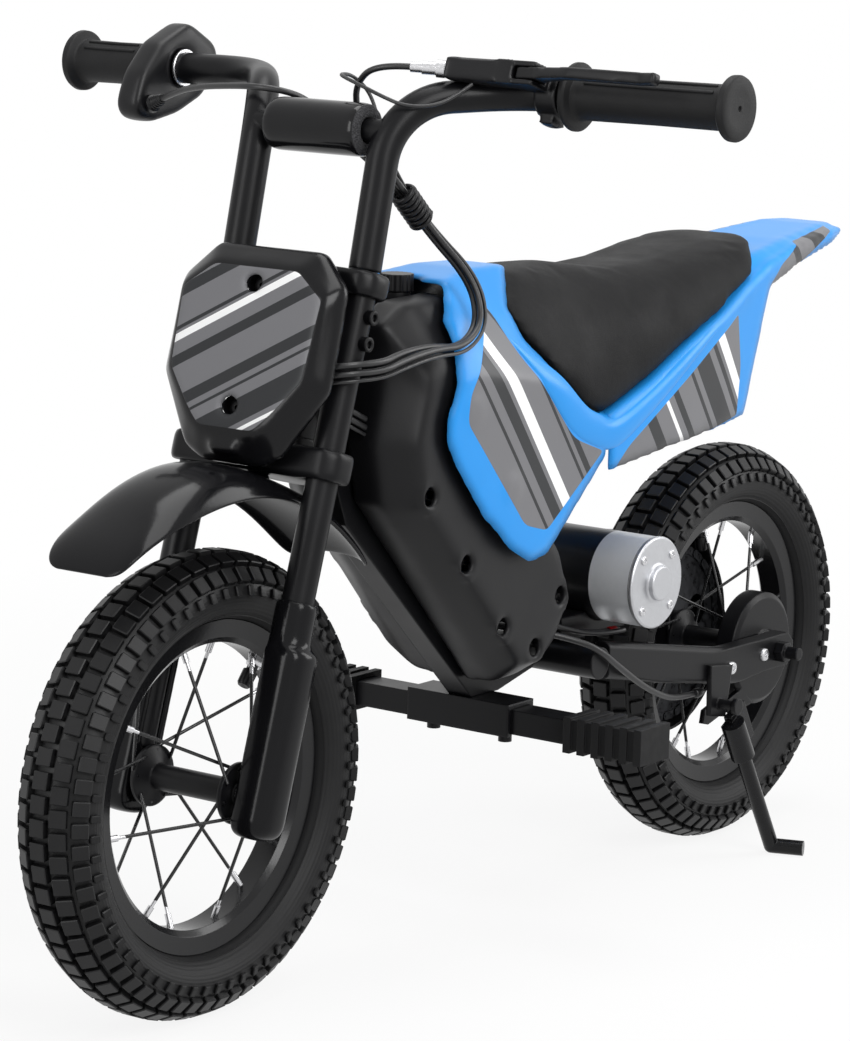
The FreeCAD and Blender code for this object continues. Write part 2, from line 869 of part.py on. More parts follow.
turned("grip_left", grip_profile(d.grip_start, d.grip_flange - 3, 1), grip_place)
throttle_end = d.throttle_inner + d.throttle_width
grip_near = throttle_end + d.seat_gap
turned("throttle_grip", grip_profile(grip_near, d.grip_radius + 2, -1), grip_place)

# Leaf-shaped throttle housing round the right bar, outline in the fork frame about the bar.
leaf = [
    (0, 34), (-33, 27), (-42, 15), (-31, -13), (-8, -32), (17, -45), (33, -47), (42, -39), (40, -15), (27, 11),
]
side_turn = Placement(vec(0, -d.throttle_inner, 0), Rotation(Vector(1, 0, 0), 90))
throttle_housing = make_body("throttle_housing", grip_place.multiply(side_turn))
add_pad(throttle_housing, 0, d.throttle_width, leaf)
round_edges(throttle_housing, lambda edge: along(edge, Vector(0, 0, 1)), 11)
round_edges(throttle_housing, lambda edge: abs(edge.CenterOfMass.z) < 0.01, 2)
add_pocket(throttle_housing, 0, d.throttle_width, None, [((0, 0), grip_bore)])

# Brake lever perch: a clamp on the left bar with an arm that carries the lever pin.
lever_x = d.lever_reach - 12
pin_y = d.perch_start + 3
perch_end = d.perch_start + d.perch_width
lever_z = d.lever_rise
half_lever = d.lever_thickness / 2
perch_ring = cylinder(vec(0, d.perch_start, 0), vec(0, perch_end, 0), d.perch_radius)
fork_lug = block(6, lever_x + 8, pin_y - 14, pin_y + 8, lever_z - half_lever - 4, lever_z + half_lever + 4)
lever_slot = block(
    lever_x - 9,
    lever_x + 20,
    pin_y - 9,
    pin_y + 20,
    lever_z - half_lever - d.seat_gap,
    lever_z + half_lever + d.seat_gap,
)
bolt_lug = block(-7, 7, d.perch_start + 3, perch_end - 3, -d.perch_radius - 6, -8)
pin = cylinder(
    vec(lever_x, pin_y, lever_z - half_lever - 4),
    vec(lever_x, pin_y, lever_z + half_lever + 4),
    d.lever_pin_radius,
)
snout_way = Vector(0.38, -0.92, -0.083)
snout_way.normalize()
snout_start = vec(lever_x, pin_y - 10, lever_z)
snout_length = 46
snout_end = snout_start + snout_way * snout_length
snout_corners = [(-9, -8), (9, -8), (9, 8), (-9, 8)]
snout_wire = polygon_wire([snout_start + Vector(x, 0, z) for x, z in snout_corners])
snout = Part.Face(snout_wire).extrude(snout_way * snout_length)
bar_way = sweep_circle(rounded_wire(bar_route(1), d.bar_bend)[0], grip_bore)
bar_way.translate(vec(d.grip_setback, 0, -d.grip_height))
perch = join([perch_ring, fork_lug, bolt_lug, snout]).cut(lever_slot).fuse(pin).cut(bar_way)
shape_node("lever_perch", perch, grip_place)

pin_hole = d.lever_pin_radius + d.running_gap
blade = [
    (lever_x - 7, pin_y - 6),
    (lever_x + 7, pin_y - 7),
    (lever_x + 9, pin_y + 8),
    (d.lever_reach + 6, pin_y + 40),
    (d.lever_reach + 4, d.lever_tip - 12),
    (d.lever_reach + 8, d.lever_tip),
    (d.lever_reach - 2, d.lever_tip),
    (d.lever_reach - 5, d.lever_tip - 12),
    (d.lever_reach - 3, pin_y + 40),
    (lever_x - 4, pin_y + 10),
]
brake_lever = make_body("brake_lever", grip_place)
add_pad(brake_lever, lever_z - half_lever, d.lever_thickness, blade)
round_edges(brake_lever, lambda edge: along(edge, Vector(0, 0, 1)), 1.5)
add_pocket(brake_lever, lever_z - half_lever, d.lever_thickness, None, [((lever_x, pin_y), pin_hole)])

# Silver barrel adjuster that leads the cable in from the middle of the bar.
barrel_steps = [(0, 6, 6), (6, 16, 4.5), (16, 24, 3.6)]
barrel_start = snout_end + Y_AXIS * -(2.6 + d.seat_gap)
barrel_length = 24
barrel_parts = []
for near, far, radius in barrel_steps:
    barrel_parts.append(cylinder(barrel_start + snout_way * near, barrel_start + snout_way * far, radius))
barrel = join(barrel_parts)
shape_node("barrel_adjuster", barrel, grip_place)

def inset(points, wall):
    """A closed outline moved inwards by a wall, corner by corner."""
    count = len(points)
    moved = []
    for i in range(count):
        before, here, after = points[i - 1], points[i], points[(i + 1) % count]
        lines = []
        for a, b in ((before, here), (here, after)):
            length = math.hypot(b[0] - a[0], b[1] - a[1])
            normal = (-(b[1] - a[1]) / length, (b[0] - a[0]) / length)
            lines.append((normal, normal[0] * a[0] + normal[1] * a[1] + wall))
        (n1, c1), (n2, c2) = lines
        cross = n1[0] * n2[1] - n1[1] * n2[0]
        moved.append(((c1 * n2[1] - c2 * n1[1]) / cross, (n1[0] * c2 - n2[0] * c1) / cross))
    return moved


# Frame: a box-section spine from the head tube down to the pegs and back under the seat.
head_low = cup_low + d.cup_height
head_high = cup_high - d.cup_height
head_bottom = fork_point(stem_axis, 0, head_low)
head_top = fork_point(stem_axis, 0, head_high)
nose_low = fork_point(stem_axis - 10, 0, head_low + 4)
nose_high = fork_point(stem_axis - 10, 0, head_high - 6)
chin = fork_point(stem_axis - 24, 0, head_low + 4)
spine_bottom = d.peg_bar_z + d.peg_bar_height / 2 + 4
spine_outline = [
    (nose_low.x, nose_low.z),
    (nose_high.x, nose_high.z),
    (150, 450),
    (90, 450),
    (-60, 440),
    (-262, 440),
    (-262, 418),
    (-60, 416),
    (96, 424),
    (158, 376),
    (152, 338),
    (-12, 200),
    (d.cross_tube_x, d.cross_tube_z + 8),
    (d.cross_tube_x, d.cross_tube_z - 8),
    (-14, spine_bottom),
    (20, spine_bottom),
    (177, 316),
    (chin.x, chin.z),
]
half_spine = float(d.spine_width) / 2
spine_points = [vec(x, -half_spine, z) for x, z in spine_outline]
spine = Part.Face(polygon_wire(spine_points)).extrude(Vector(0, 2 * half_spine, 0))
spine_wall = float(d.spine_wall)
hollow = []
for x, z in inset([(float(x), float(z)) for x, z in spine_outline], spine_wall):
    hollow.append(Vector(-270 if x < -250 else x, spine_wall - half_spine, z))
spine = spine.cut(Part.Face(polygon_wire(hollow)).extrude(Vector(0, 2 * (half_spine - spine_wall), 0)))
head_tube = cylinder(head_bottom, head_top, d.head_tube_radius)
head_bore = cylinder(
    fork_point(stem_axis, 0, head_low - 20), fork_point(stem_axis, 0, head_high + 20), d.stem_radius + 1
)
cross_half = d.stay_inner + d.stay_width
cross_tube = cylinder(
    vec(d.cross_tube_x, -cross_half, d.cross_tube_z),
    vec(d.cross_tube_x, cross_half, d.cross_tube_z),
    d.cross_tube_radius,
)
shape_node("main_frame", join([spine, head_tube, cross_tube]).cut(head_bore))

# Rear stays: flattened tubes from the cross tube to the axle.
axle_z = d.tyre_radius
stay_outline = [
    (d.cross_tube_x - d.cross_tube_radius, 203),
    (-150, 190),
    (-250, 172),
    (rear_axle_x + 22, axle_z + 13),
    (rear_axle_x - 14, axle_z + 13),
    (rear_axle_x - 22, axle_z + 5),
    (rear_axle_x - 22, axle_z - 5),
    (rear_axle_x - 14, axle_z - 13),
    (rear_axle_x + 22, axle_z - 13),
    (-258, 142),
    (-150, 160),
    (d.cross_tube_x - d.cross_tube_radius, 175),
]


def stay_shape(y_low, y_high):
    """One stay with rounded long edges and an axle hole."""
    points = [vec(x, y_low, z) for x, z in stay_outline]
    bar = Part.Face(polygon_wire(points)).extrude(vec(0, as_size(y_high) - y_low, 0))
    long_edges = [edge for edge in bar.Edges if edge.Length > 60 and not along(edge, Y_AXIS)]
    bar = bar.makeFillet(5, long_edges)
    hole = cylinder(vec(rear_axle_x, y_low - 1, axle_z), vec(rear_axle_x, y_high + 1, axle_z), bore_radius)
    return bar.cut(hole)


left_stay = stay_shape(d.stay_inner, cross_half)
right_stay = stay_shape(-cross_half, -d.stay_inner)
shape_node("rear_stays", Part.Compound([left_stay, right_stay]))

# Rear axle with its nuts, washers and the spacers that locate hub and brake.
nut_face = float(cross_half)
axle_shapes = [cylinder(vec(0, -d.rear_axle_half, 0), vec(0, d.rear_axle_half, 0), axle_radius)]
for side in (1, -1):
    hexagon = []
    for i in range(6):
        angle = math.radians(60 * i)
        radius = float(d.nut_radius)
        spot = Vector(radius * math.cos(angle), side * nut_face, radius * math.sin(angle))
        hexagon.append(spot)
    axle_shapes.append(Part.Face(polygon_wire(hexagon)).extrude(vec(0, side * d.nut_height, 0)))
spacer_start = vec(0, sprocket_outer_y - d.seat_gap, 0)
axle_shapes.append(cylinder(spacer_start, vec(0, -d.stay_inner, 0), 8))
shape_node("rear_axle", join(axle_shapes), rear_place)

# Chain drive on the right: pinion, sprocket and a roller chain round both.
pitch = float(d.chain_pitch)
pinion_pitch = pitch / 2 / math.sin(math.pi / float(d.pinion_teeth))
sprocket_pitch = pitch / 2 / math.sin(math.pi / float(d.sprocket_teeth))
link_count = round(float(d.chain_links))
teeth_difference = float(d.sprocket_teeth) - float(d.pinion_teeth)
free_links = link_count - (float(d.sprocket_teeth) + float(d.pinion_teeth)) / 2
wrap_term = teeth_difference ** 2 / (4 * math.pi ** 2)
centre_distance = pitch * (free_links + math.sqrt(free_links ** 2 - 8 * wrap_term)) / 4
lean = math.radians(float(d.motor_angle))
chain_way = Vector(math.cos(lean), 0, math.sin(lean))
chain_up = Vector(-math.sin(lean), 0, math.cos(lean))
rear_centre = vec(rear_axle_x, 0, axle_z)
motor_centre = rear_centre + chain_way * centre_distance
spread = math.asin((sprocket_pitch - pinion_pitch) / centre_distance)
straight = centre_distance * math.cos(spread)
pinion_wrap = math.pi - 2 * spread
sprocket_wrap = math.pi + 2 * spread
pinion_arc = pitch * float(d.pinion_teeth) / (2 * math.pi)
sprocket_arc = pitch * float(d.sprocket_teeth) / (2 * math.pi)
chain_length = 2 * straight + pinion_arc * pinion_wrap + sprocket_arc * sprocket_wrap


def around(centre, radius, angle):
    """A point on a circle; the angle runs from the chain's way towards its upper side."""
    return centre + chain_way * (radius * math.cos(angle)) + chain_up * (radius * math.sin(angle))


def chain_spot(run):
    """The chain's centre line at a length along it, from the rear upper tangent point."""
    upper = math.pi / 2 - spread
    run = run % chain_length
    if run < straight:
        start = around(rear_centre, sprocket_pitch, upper)
        end = around(motor_centre, pinion_pitch, upper)
        return start + (end - start) * (run / straight)
    run -= straight
    if run < pinion_arc * pinion_wrap:
        return around(motor_centre, pinion_pitch, upper - run / pinion_arc)
    run -= pinion_arc * pinion_wrap
    if run < straight:
        start = around(motor_centre, pinion_pitch, -upper)
        end = around(rear_centre, sprocket_pitch, -upper)
        return start + (end - start) * (run / straight)
    run -= straight
    return around(rear_centre, sprocket_pitch, -upper - run / sprocket_arc)


def toothed_disc(centre, radius, teeth, near, bore):
    """A sprocket whose tooth gaps sit on the chain's rollers."""
    spots = [chain_spot(chain_length * i / link_count) for i in range(link_count)]
    meshed = min(spots, key=lambda spot: abs((spot - centre).Length - radius) + (spot - near).Length)
    first = math.atan2(meshed.z - centre.z, meshed.x - centre.x)
    tip = radius + 0.3 * float(d.roller_radius)
    thickness = float(d.sprocket_thickness)
    low = -float(d.chain_plane) - thickness / 2
    foot = Vector(centre.x, low, centre.z)
    disc = Part.makeCylinder(tip, thickness, foot, Y_AXIS)
    gap_radius = float(d.roller_radius) + 0.45
    gaps = [Part.makeCylinder(float(bore), thickness, foot, Y_AXIS)]
    for i in range(teeth):
        angle = first + 2 * math.pi * i / teeth
        spot = foot + Vector(radius * math.cos(angle), 0, radius * math.sin(angle))
        gaps.append(Part.makeCylinder(gap_radius, thickness, spot, Y_AXIS))
    return disc.cut(gaps)


sprocket_back = rear_centre - chain_way * sprocket_pitch
sprocket = toothed_disc(
    rear_centre,
    sprocket_pitch,
    round(float(d.sprocket_teeth)),
    sprocket_back,
    carrier_radius + d.running_gap,
)
windows = []
for i in range(5):
    turn_angle = 2 * math.pi * i / 5
    hole_way = Vector(math.sin(turn_angle), 0, math.cos(turn_angle)) * 42
    foot = rear_centre + hole_way + vec(0, -d.chain_plane - 5, 0)
    windows.append(Part.makeCylinder(13, 10, foot, Y_AXIS))
shape_node("rear_sprocket", sprocket.cut(windows))
pinion_front = motor_centre + chain_way * pinion_pitch
pinion = toothed_disc(
    motor_centre, pinion_pitch, round(float(d.pinion_teeth)), pinion_front, d.motor_shaft_radius - 1
)
shaft_end = -d.chain_plane - 6
shaft = cylinder(
    vec(motor_centre.x, shaft_end, motor_centre.z),
    vec(motor_centre.x, 0, motor_centre.z),
    d.motor_shaft_radius,
)
shape_node("motor_pinion", join([pinion, shaft]))


def chain_links():
    """Outer links with pins and inner links with rollers, turn about."""
    half = chain_length / link_count / 2
    plate_radius = 3.2
    pin_radius = 1.1

    def plate(y_low, y_high):
        bar = block(-half, half, y_low, y_high, -plate_radius, plate_radius)
        ends = [cylinder(Vector(x, y_low, 0), Vector(x, y_high, 0), plate_radius) for x in (-half, half)]
        return join([bar] + ends)

    def across(radius, reach):
        return [cylinder(Vector(x, -reach, 0), Vector(x, reach, 0), radius) for x in (-half, half)]

    outer = join([plate(3.5, 4.3), plate(-4.3, -3.5)] + across(pin_radius, 4.6))
    inner = join([plate(2.4, 3.3), plate(-3.3, -2.4)] + across(d.roller_radius, 2.8))
    inner = inner.cut(across(pin_radius + 0.2, 4))
    links = []
    for i in range(link_count):
        start = chain_spot(chain_length * i / link_count)
        end = chain_spot(chain_length * (i + 1) / link_count)
        run = end - start
        link = (outer if i % 2 == 0 else inner).copy()
        spot = (start + end) * 0.5 + vec(0, -d.chain_plane, 0)
        link.Placement = Placement(spot, Rotation(Y_AXIS, -math.degrees(math.atan2(run.z, run.x))))
        links.append(link)
    return Part.Compound(links)


shape_node("drive_chain", chain_links())


def teardrop(rear_radius, front_radius, y):
    """A closed outline of two arcs and two tangents round both sprockets."""
    tilt = math.asin((rear_radius - front_radius) / centre_distance)
    upper = math.pi / 2 - tilt
    move = vec(0, y, 0)
    rear_up = around(rear_centre, rear_radius, upper) + move
    rear_low = around(rear_centre, rear_radius, -upper) + move
    front_up = around(motor_centre, front_radius, upper) + move
    front_low = around(motor_centre, front_radius, -upper) + move
    back = around(rear_centre, rear_radius, math.pi) + move
    nose = around(motor_centre, front_radius, 0) + move
    edges = [
        Part.LineSegment(rear_up, front_up).toShape(),
        Part.Arc(front_up, nose, front_low).toShape(),
        Part.LineSegment(front_low, rear_low).toShape(),
        Part.Arc(rear_low, back, rear_up).toShape(),
    ]
    return Part.Face(Part.Wire(edges))


guard_wall = float(d.guard_wall)
guard_rear = sprocket_pitch + float(d.guard_margin)
guard_front = pinion_pitch + float(d.guard_margin)
guard_back = -float(d.stay_inner)
guard_depth = float(d.stay_inner - d.chain_plane) + 5
guard = teardrop(guard_rear, guard_front, guard_back).extrude(Vector(0, guard_depth, 0))
tray = teardrop(guard_rear - guard_wall, guard_front - guard_wall, guard_back + guard_wall)
guard = guard.cut(tray.extrude(Vector(0, guard_depth, 0)))
guard_hole = cylinder(rear_centre + Vector(0, -90, 0), rear_centre, 14)
shape_node("chain_guard", guard.cut(guard_hole))

# Motor: a can with an aluminium cap on the left, in a cradle on the cross tube.
motor_right = -float(d.motor_right)
motor_left = float(d.motor_left)


def motor_spot(y):
    """A point on the motor's axis."""
    return Vector(motor_centre.x, float(y), motor_centre.z)


can = cylinder(motor_spot(motor_right), motor_spot(motor_left), d.motor_radius)
shaft_way = cylinder(motor_spot(motor_right - 1), motor_spot(1), d.motor_shaft_radius + d.running_gap)
shape_node("motor_can", can.cut(shaft_way))
cap_face = d.motor_left + d.motor_cap_width
cap_pieces = [
    cylinder(motor_spot(motor_left), motor_spot(cap_face), d.motor_radius + 0.6),
    cylinder(motor_spot(cap_face), motor_spot(cap_face + 5), d.motor_boss_radius),
]
screw_seats = []
for i in range(4):
    angle = math.radians(45 + 90 * i)
    offset = Vector(math.cos(angle), 0, math.sin(angle)) * (float(d.motor_radius) - 8)
    screw_seats.append(cylinder(motor_spot(cap_face - 2) + offset, motor_spot(cap_face) + offset, 3))
shape_node("motor_cap", join(cap_pieces).cut(screw_seats))
cradle_low = d.cross_tube_z + d.cross_tube_radius
cradle = block(
    motor_centre.x - 30,
    d.cross_tube_x + 4,
    -18,
    32,
    cradle_low,
    motor_centre.z - float(d.motor_radius) * 0.75,
)
motor_way = cylinder(motor_spot(motor_right - 60), motor_spot(120), d.motor_radius + 0.7)
shape_node("motor_mount", cradle.cut(motor_way))

# Band brake on the left of the rear hub.
drum_profile = [
    (15 + d.running_gap, drum_start),
    (d.drum_radius, drum_start),
    (d.drum_radius, drum_end),
    (d.drum_radius - 4, drum_end),
    (d.drum_radius - 4, drum_start + 4),
    (15 + d.running_gap, drum_start + 4),
]
turned("brake_drum", drum_profile, rear_place)
cover_low = drum_end + d.seat_gap + 1
cover_high = d.stay_inner
lip_start = drum_start + 2
cover_profile = [
    (bore_radius, cover_high),
    (14, cover_high),
    (15, cover_high - 1.5),
    (d.brake_cover_radius - 4, cover_high - 1.5),
    (d.brake_cover_radius, cover_high - 4),
    (d.brake_cover_radius, lip_start),
    (d.brake_cover_radius - d.brake_cover_wall, lip_start),
    (d.brake_cover_radius - d.brake_cover_wall, cover_low),
    (bore_radius, cover_low),
]
arm_pivot = (rear_axle_x + 42, axle_z - 37)
arm_pin_radius = 3
brake_cover = turned("brake_cover_disc", cover_profile, rear_place)
nodes.remove(brake_cover)
ear_points = [(12, -42), (30, -28), (50, -34), (50, -44), (38, -46)]
ear = Part.Face(polygon_wire([vec(x, cover_low + 0.5, z) for x, z in ear_points]))
ear = ear.extrude(vec(0, cover_high - cover_low - 2, 0))
ear_pin = cylinder(vec(42, cover_low - 4.5, -37), vec(42, cover_high - 1.5, -37), arm_pin_radius)
doc.recompute()
cover_solid = brake_cover.Shape.copy()
cover_solid.Placement = Placement()
cover_bore = d.brake_cover_radius - d.brake_cover_wall
drum_way = cylinder(vec(0, drum_start - 20, 0), vec(0, cover_low, 0), cover_bore)
shape_node("brake_cover", join([cover_solid, ear, ear_pin]).cut(drum_way), rear_place)
arm_outline = [
    (arm_pivot[0] - 6, arm_pivot[1] + 3),
    (arm_pivot[0] + 2, arm_pivot[1] + 7),
    (arm_pivot[0] + 34, arm_pivot[1] - 2),
    (arm_pivot[0] + 36, arm_pivot[1] - 12),
    (arm_pivot[0] + 28, arm_pivot[1] - 14),
    (arm_pivot[0] - 4, arm_pivot[1] - 6),
]
arm_hole = (arm_pivot, arm_pin_radius + d.running_gap)
side_plate("brake_arm", arm_outline, cover_low - 4, cover_low - d.seat_gap, [arm_hole])

# Foot pegs on a cross bar held under the spine by a clamp.
peg_half_depth = d.peg_bar_depth / 2
peg_half_height = d.peg_bar_height / 2
peg_bar = block(
    d.peg_bar_x - peg_half_depth,
    d.peg_bar_x + peg_half_depth,
    -d.peg_end + 6,
    d.peg_end - 6,
    d.peg_bar_z - peg_half_height,
    d.peg_bar_z + peg_half_height,
)
shape_node("peg_bar", peg_bar)
clamp_wall = 4
clamp_outer = block(
    d.peg_bar_x - peg_half_depth - clamp_wall,
    d.peg_bar_x + peg_half_depth + clamp_wall,
    -45,
    45,
    d.peg_bar_z - peg_half_height - 2,
    spine_bottom,
)
clamp_way = block(
    d.peg_bar_x - peg_half_depth,
    d.peg_bar_x + peg_half_depth,
    -46,
    46,
    d.peg_bar_z - peg_half_height - 10,
    d.peg_bar_z + peg_half_height,
)
clamp_bolts = []
for y in (-32, 32):
    bolt_top = vec(d.peg_bar_x, y, d.peg_bar_z - peg_half_height)
    clamp_bolts.append(cylinder(bolt_top, bolt_top - Vector(0, 0, 9), 5))
peg_clamp = clamp_outer.cut(clamp_way)
shape_node("peg_clamp", Part.Compound([peg_clamp] + clamp_bolts))


def peg_rubber(side):
    """A ribbed rubber block over one end of the peg bar."""
    low = d.peg_bar_x - d.peg_depth / 2
    high = d.peg_bar_x + d.peg_depth / 2
    peg_low = d.peg_bar_z - d.peg_height / 2
    peg_high = d.peg_bar_z + d.peg_height / 2
    rib_count = round(float(d.peg_rib_count))
    span = float(d.peg_end - d.peg_start)
    pieces = [
        block(low + 2, high - 2, d.peg_start, d.peg_end, peg_low + 2, peg_high - 2)
    ]
    for i in range(rib_count):
        rib_low = float(d.peg_start) + span * i / (rib_count - 0.5)
        rib_high = rib_low + span * 0.5 / (rib_count - 0.5)
        pieces.append(
            block(low, high, rib_low, rib_high, peg_low, peg_high)
        )
    rubber = join(pieces).cut(peg_bar)
    return rubber if side > 0 else rubber.mirror(ORIGIN, Y_AXIS)


shape_node("peg_rubbers", Part.Compound([peg_rubber(1), peg_rubber(-1)]))

# Side stand on the left stay.
stand_plane = float(cross_half)
plate_high = stand_plane + 4
leg_low = plate_high + float(d.seat_gap)
leg_high = leg_low + 13
stand_middle = (leg_low + leg_high) / 2
bracket_outline = [
    (d.stand_pivot_x - 18, d.stand_pivot_z + 28),
    (d.stand_pivot_x + 14, d.stand_pivot_z + 32),
    (d.stand_pivot_x + 12, d.stand_pivot_z - 8),
    (d.stand_pivot_x - 10, d.stand_pivot_z - 12),
]
bracket_points = [vec(x, stand_plane, z) for x, z in bracket_outline]
bracket = Part.Face(polygon_wire(bracket_points)).extrude(Vector(0, plate_high - stand_plane, 0))
pivot_low = vec(d.stand_pivot_x, stand_plane, d.stand_pivot_z)
pivot_high = vec(d.stand_pivot_x, leg_high + 0.5, d.stand_pivot_z)
pivot_head = cylinder(pivot_high, pivot_high + Vector(0, 4, 0), 6.5)
pivot = cylinder(pivot_low, pivot_high, d.stand_pin_radius)
shape_node("kickstand_bracket", join([bracket, pivot, pivot_head]))
hip = vec(d.stand_pivot_x, stand_middle, d.stand_pivot_z)
heel = vec(d.stand_foot_x, stand_middle + 2, d.stand_rod_radius)
leg_run = heel - hip
leg_run.normalize()
toe = heel + Vector(-9, 24, 0)
knuckle_corner = Vector(-11, leg_low - stand_middle, -24)
knuckle = Part.makeBox(22, leg_high - leg_low, 34, knuckle_corner)
knuckle.Placement = Placement(hip, Rotation(Y_AXIS, 180 + math.degrees(math.atan2(leg_run.x, leg_run.z))))
knuckle.Placement = knuckle.Placement.multiply(Placement(knuckle_corner, Rotation()))
leg_pieces = [
    knuckle,
    cylinder(hip + leg_run * 18, hip + leg_run * 52, 9.5),
    cylinder(hip + leg_run * 40, heel, d.stand_rod_radius),
    Part.makeSphere(float(d.stand_rod_radius), heel),
    cylinder(heel, toe, d.stand_rod_radius),
]
pivot_way = cylinder(
    vec(d.stand_pivot_x, leg_low - 20, d.stand_pivot_z),
    vec(d.stand_pivot_x, leg_high + 20, d.stand_pivot_z),
    d.stand_pin_radius + d.running_gap,
)
stand_slice = block(-500, 0, leg_low, leg_high + 60, 0, 200)
shape_node("kickstand_leg", join(leg_pieces).cut(pivot_way).common(stand_slice))

# Battery housing: two half shells beside the spine, outlines of X and Z.
shell_edge = [
    (31, 185), (172, 333), (182, 376), (168, 440), (174, 456), (150, 470), (96, 472),
    (80, 430), (20, 345), (-8, 310), (-32, 285), (-47, 240), (-25, 203), (0, 186),
]
shell_face = [
    (34, 203), (152, 331), (162, 374), (150, 412), (151, 419), (138, 426), (106, 427),
    (94, 408), (33, 338), (8, 303), (-17, 277), (-30, 242), (-14, 214), (4, 202),
]


def tub(edge, face, inner, step, outer):
    """A solid that is straight to the step and then draws in to its side face."""
    rings = []
    for points, y in ((edge, inner), (edge, step), (face, outer)):
        rings.append(polygon_wire([Vector(x, float(y), z) for x, z in points]))
    return Part.makeLoft(rings, True, True)


wall = float(d.shell_wall)
shell = tub(shell_edge, shell_face, d.shell_inner, d.shell_step, d.shell_outer)
hollow = tub(
    inset(shell_edge, wall),
    inset(shell_face, wall),
    d.shell_inner - 0.01,
    d.shell_step,
    d.shell_outer - wall,
)
shell = shell.cut(hollow)
screw_spots = [(146, 338), (100, 285), (53, 233), (12, 212), (-19, 246)]
screw_floor = d.shell_outer - d.shell_wall - 8
screw_wells = []
screws = []
for x, z in screw_spots:
    screw_wells.append(cylinder(vec(x, screw_floor, z), vec(x, d.shell_outer + 1, z), 6.5))
    post = bored(vec(x, d.shell_inner, z), vec(x, d.shell_outer - wall / 2, z), 7, 2)
    shell = shell.fuse(post.common(hollow))
    shank = cylinder(vec(x, d.shell_inner + 2, z), vec(x, screw_floor, z), 1.9)
    screws.append(join([shank, cylinder(vec(x, screw_floor, z), vec(x, screw_floor + 3, z), 5)]))
left_shell = shell.cut(screw_wells)
shape_node("housing_left", left_shell)
shape_node("housing_right", left_shell.mirror(ORIGIN, Y_AXIS))
right_screws = [screw.mirror(ORIGIN, Y_AXIS) for screw in screws]
shape_node("housing_screws", Part.Compound(screws + right_screws))

# Battery and controller fill the room above the down bar, between the shells.
battery_outline = [(12, 258), (52, 254.3), (130, 319.9), (134, 380), (116, 400), (72, 402), (12, 325)]
side_plate("battery_pack", battery_outline, -d.shell_step, d.shell_step)
shape_node("controller", block(-8, 24, -d.shell_outer + d.shell_wall + d.seat_gap, -20, 222, 250))

# Charging socket between the shells, under a ribbed cap that turns.
cap_base = 473
socket_base = 450 + d.seat_gap
socket_radius = d.shell_inner - 1
socket = bored(vec(d.cap_x, 0, socket_base), vec(d.cap_x, 0, cap_base - d.seat_gap), socket_radius, 5)
socket_floor_plate = cylinder(vec(d.cap_x, 0, socket_base), vec(d.cap_x, 0, socket_base + 6), socket_radius)
shape_node("charge_socket", join([socket, socket_floor_plate]))
rib_count = 20
cap_points = []
for i in range(2 * rib_count):
    angle = math.pi * i / rib_count
    radius = float(d.cap_radius) - (0.9 if i % 2 else 0)
    cap_points.append((d.cap_x + radius * math.cos(angle), radius * math.sin(angle)))
charge_cap = make_body("charge_cap")
add_pad(charge_cap, cap_base, d.cap_height, cap_points)

# Front fairing: a thin shroud lofted along X and trimmed to its side outline.
fairing_wall = float(d.fairing_wall)
# X, top height and half width, shoulder half width and height, side half width and height.
fairing_stations = [
    (-70, 483, 22, 50, 440, 70, 395),
    (0, 486, 22, 48, 452, 70, 405),
    (60, 487, 26, 50, 455, 70, 415),
    (100, 482, 34, 56, 455, 69, 420),
    (150, 474, 40, 60, 440, 67, 415),
]
fairing_outline = [
    (98, 490), (127, 456), (126, 440), (131, 416), (140, 392), (140, 376), (132, 360),
    (96, 318), (63, 290), (37, 277), (14, 281), (-58.5, 345), (-58.5, 374), (-34, 380),
    (2, 409), (33, 439), (38, 458), (5, 490),
]


def fairing_solid(thin):
    """The filled hood, drawn in by a wall thickness."""
    wires = []
    for x, top_z, top_w, shoulder_w, shoulder_z, side_w, side_z in fairing_stations:
        half = [
            (side_w - thin, 250),
            (side_w - thin, side_z - thin * 0.3),
            (shoulder_w - thin * 0.75, shoulder_z - thin * 0.8),
            (top_w - thin * 0.4, top_z - thin),
        ]
        ring = half + [(-y, z) for y, z in reversed(half)]
        wires.append(polygon_wire([Vector(x, y, z - (1 if thin and z == 250 else 0)) for y, z in ring]))
    return Part.makeLoft(wires, True, True)


trim = Part.Face(polygon_wire([Vector(x, -100, z) for x, z in fairing_outline])).extrude(Vector(0, 200, 0))
hood = fairing_solid(0).cut(fairing_solid(fairing_wall)).common(trim)
cap_way = cylinder(vec(d.cap_x, 0, 440), vec(d.cap_x, 0, 520), d.cap_radius + 2.5)
fairing_bosses = []
for x, z in ((108, 395), (62, 335)):
    for side in (1, -1):
        boss_inner = vec(x, side * (d.shell_outer + d.seat_gap), z)
        fairing_bosses.append(cylinder(boss_inner, vec(x, side * (d.shell_outer + 7), z), 7))
shape_node("front_fairing", join([hood] + fairing_bosses).cut(cap_way))

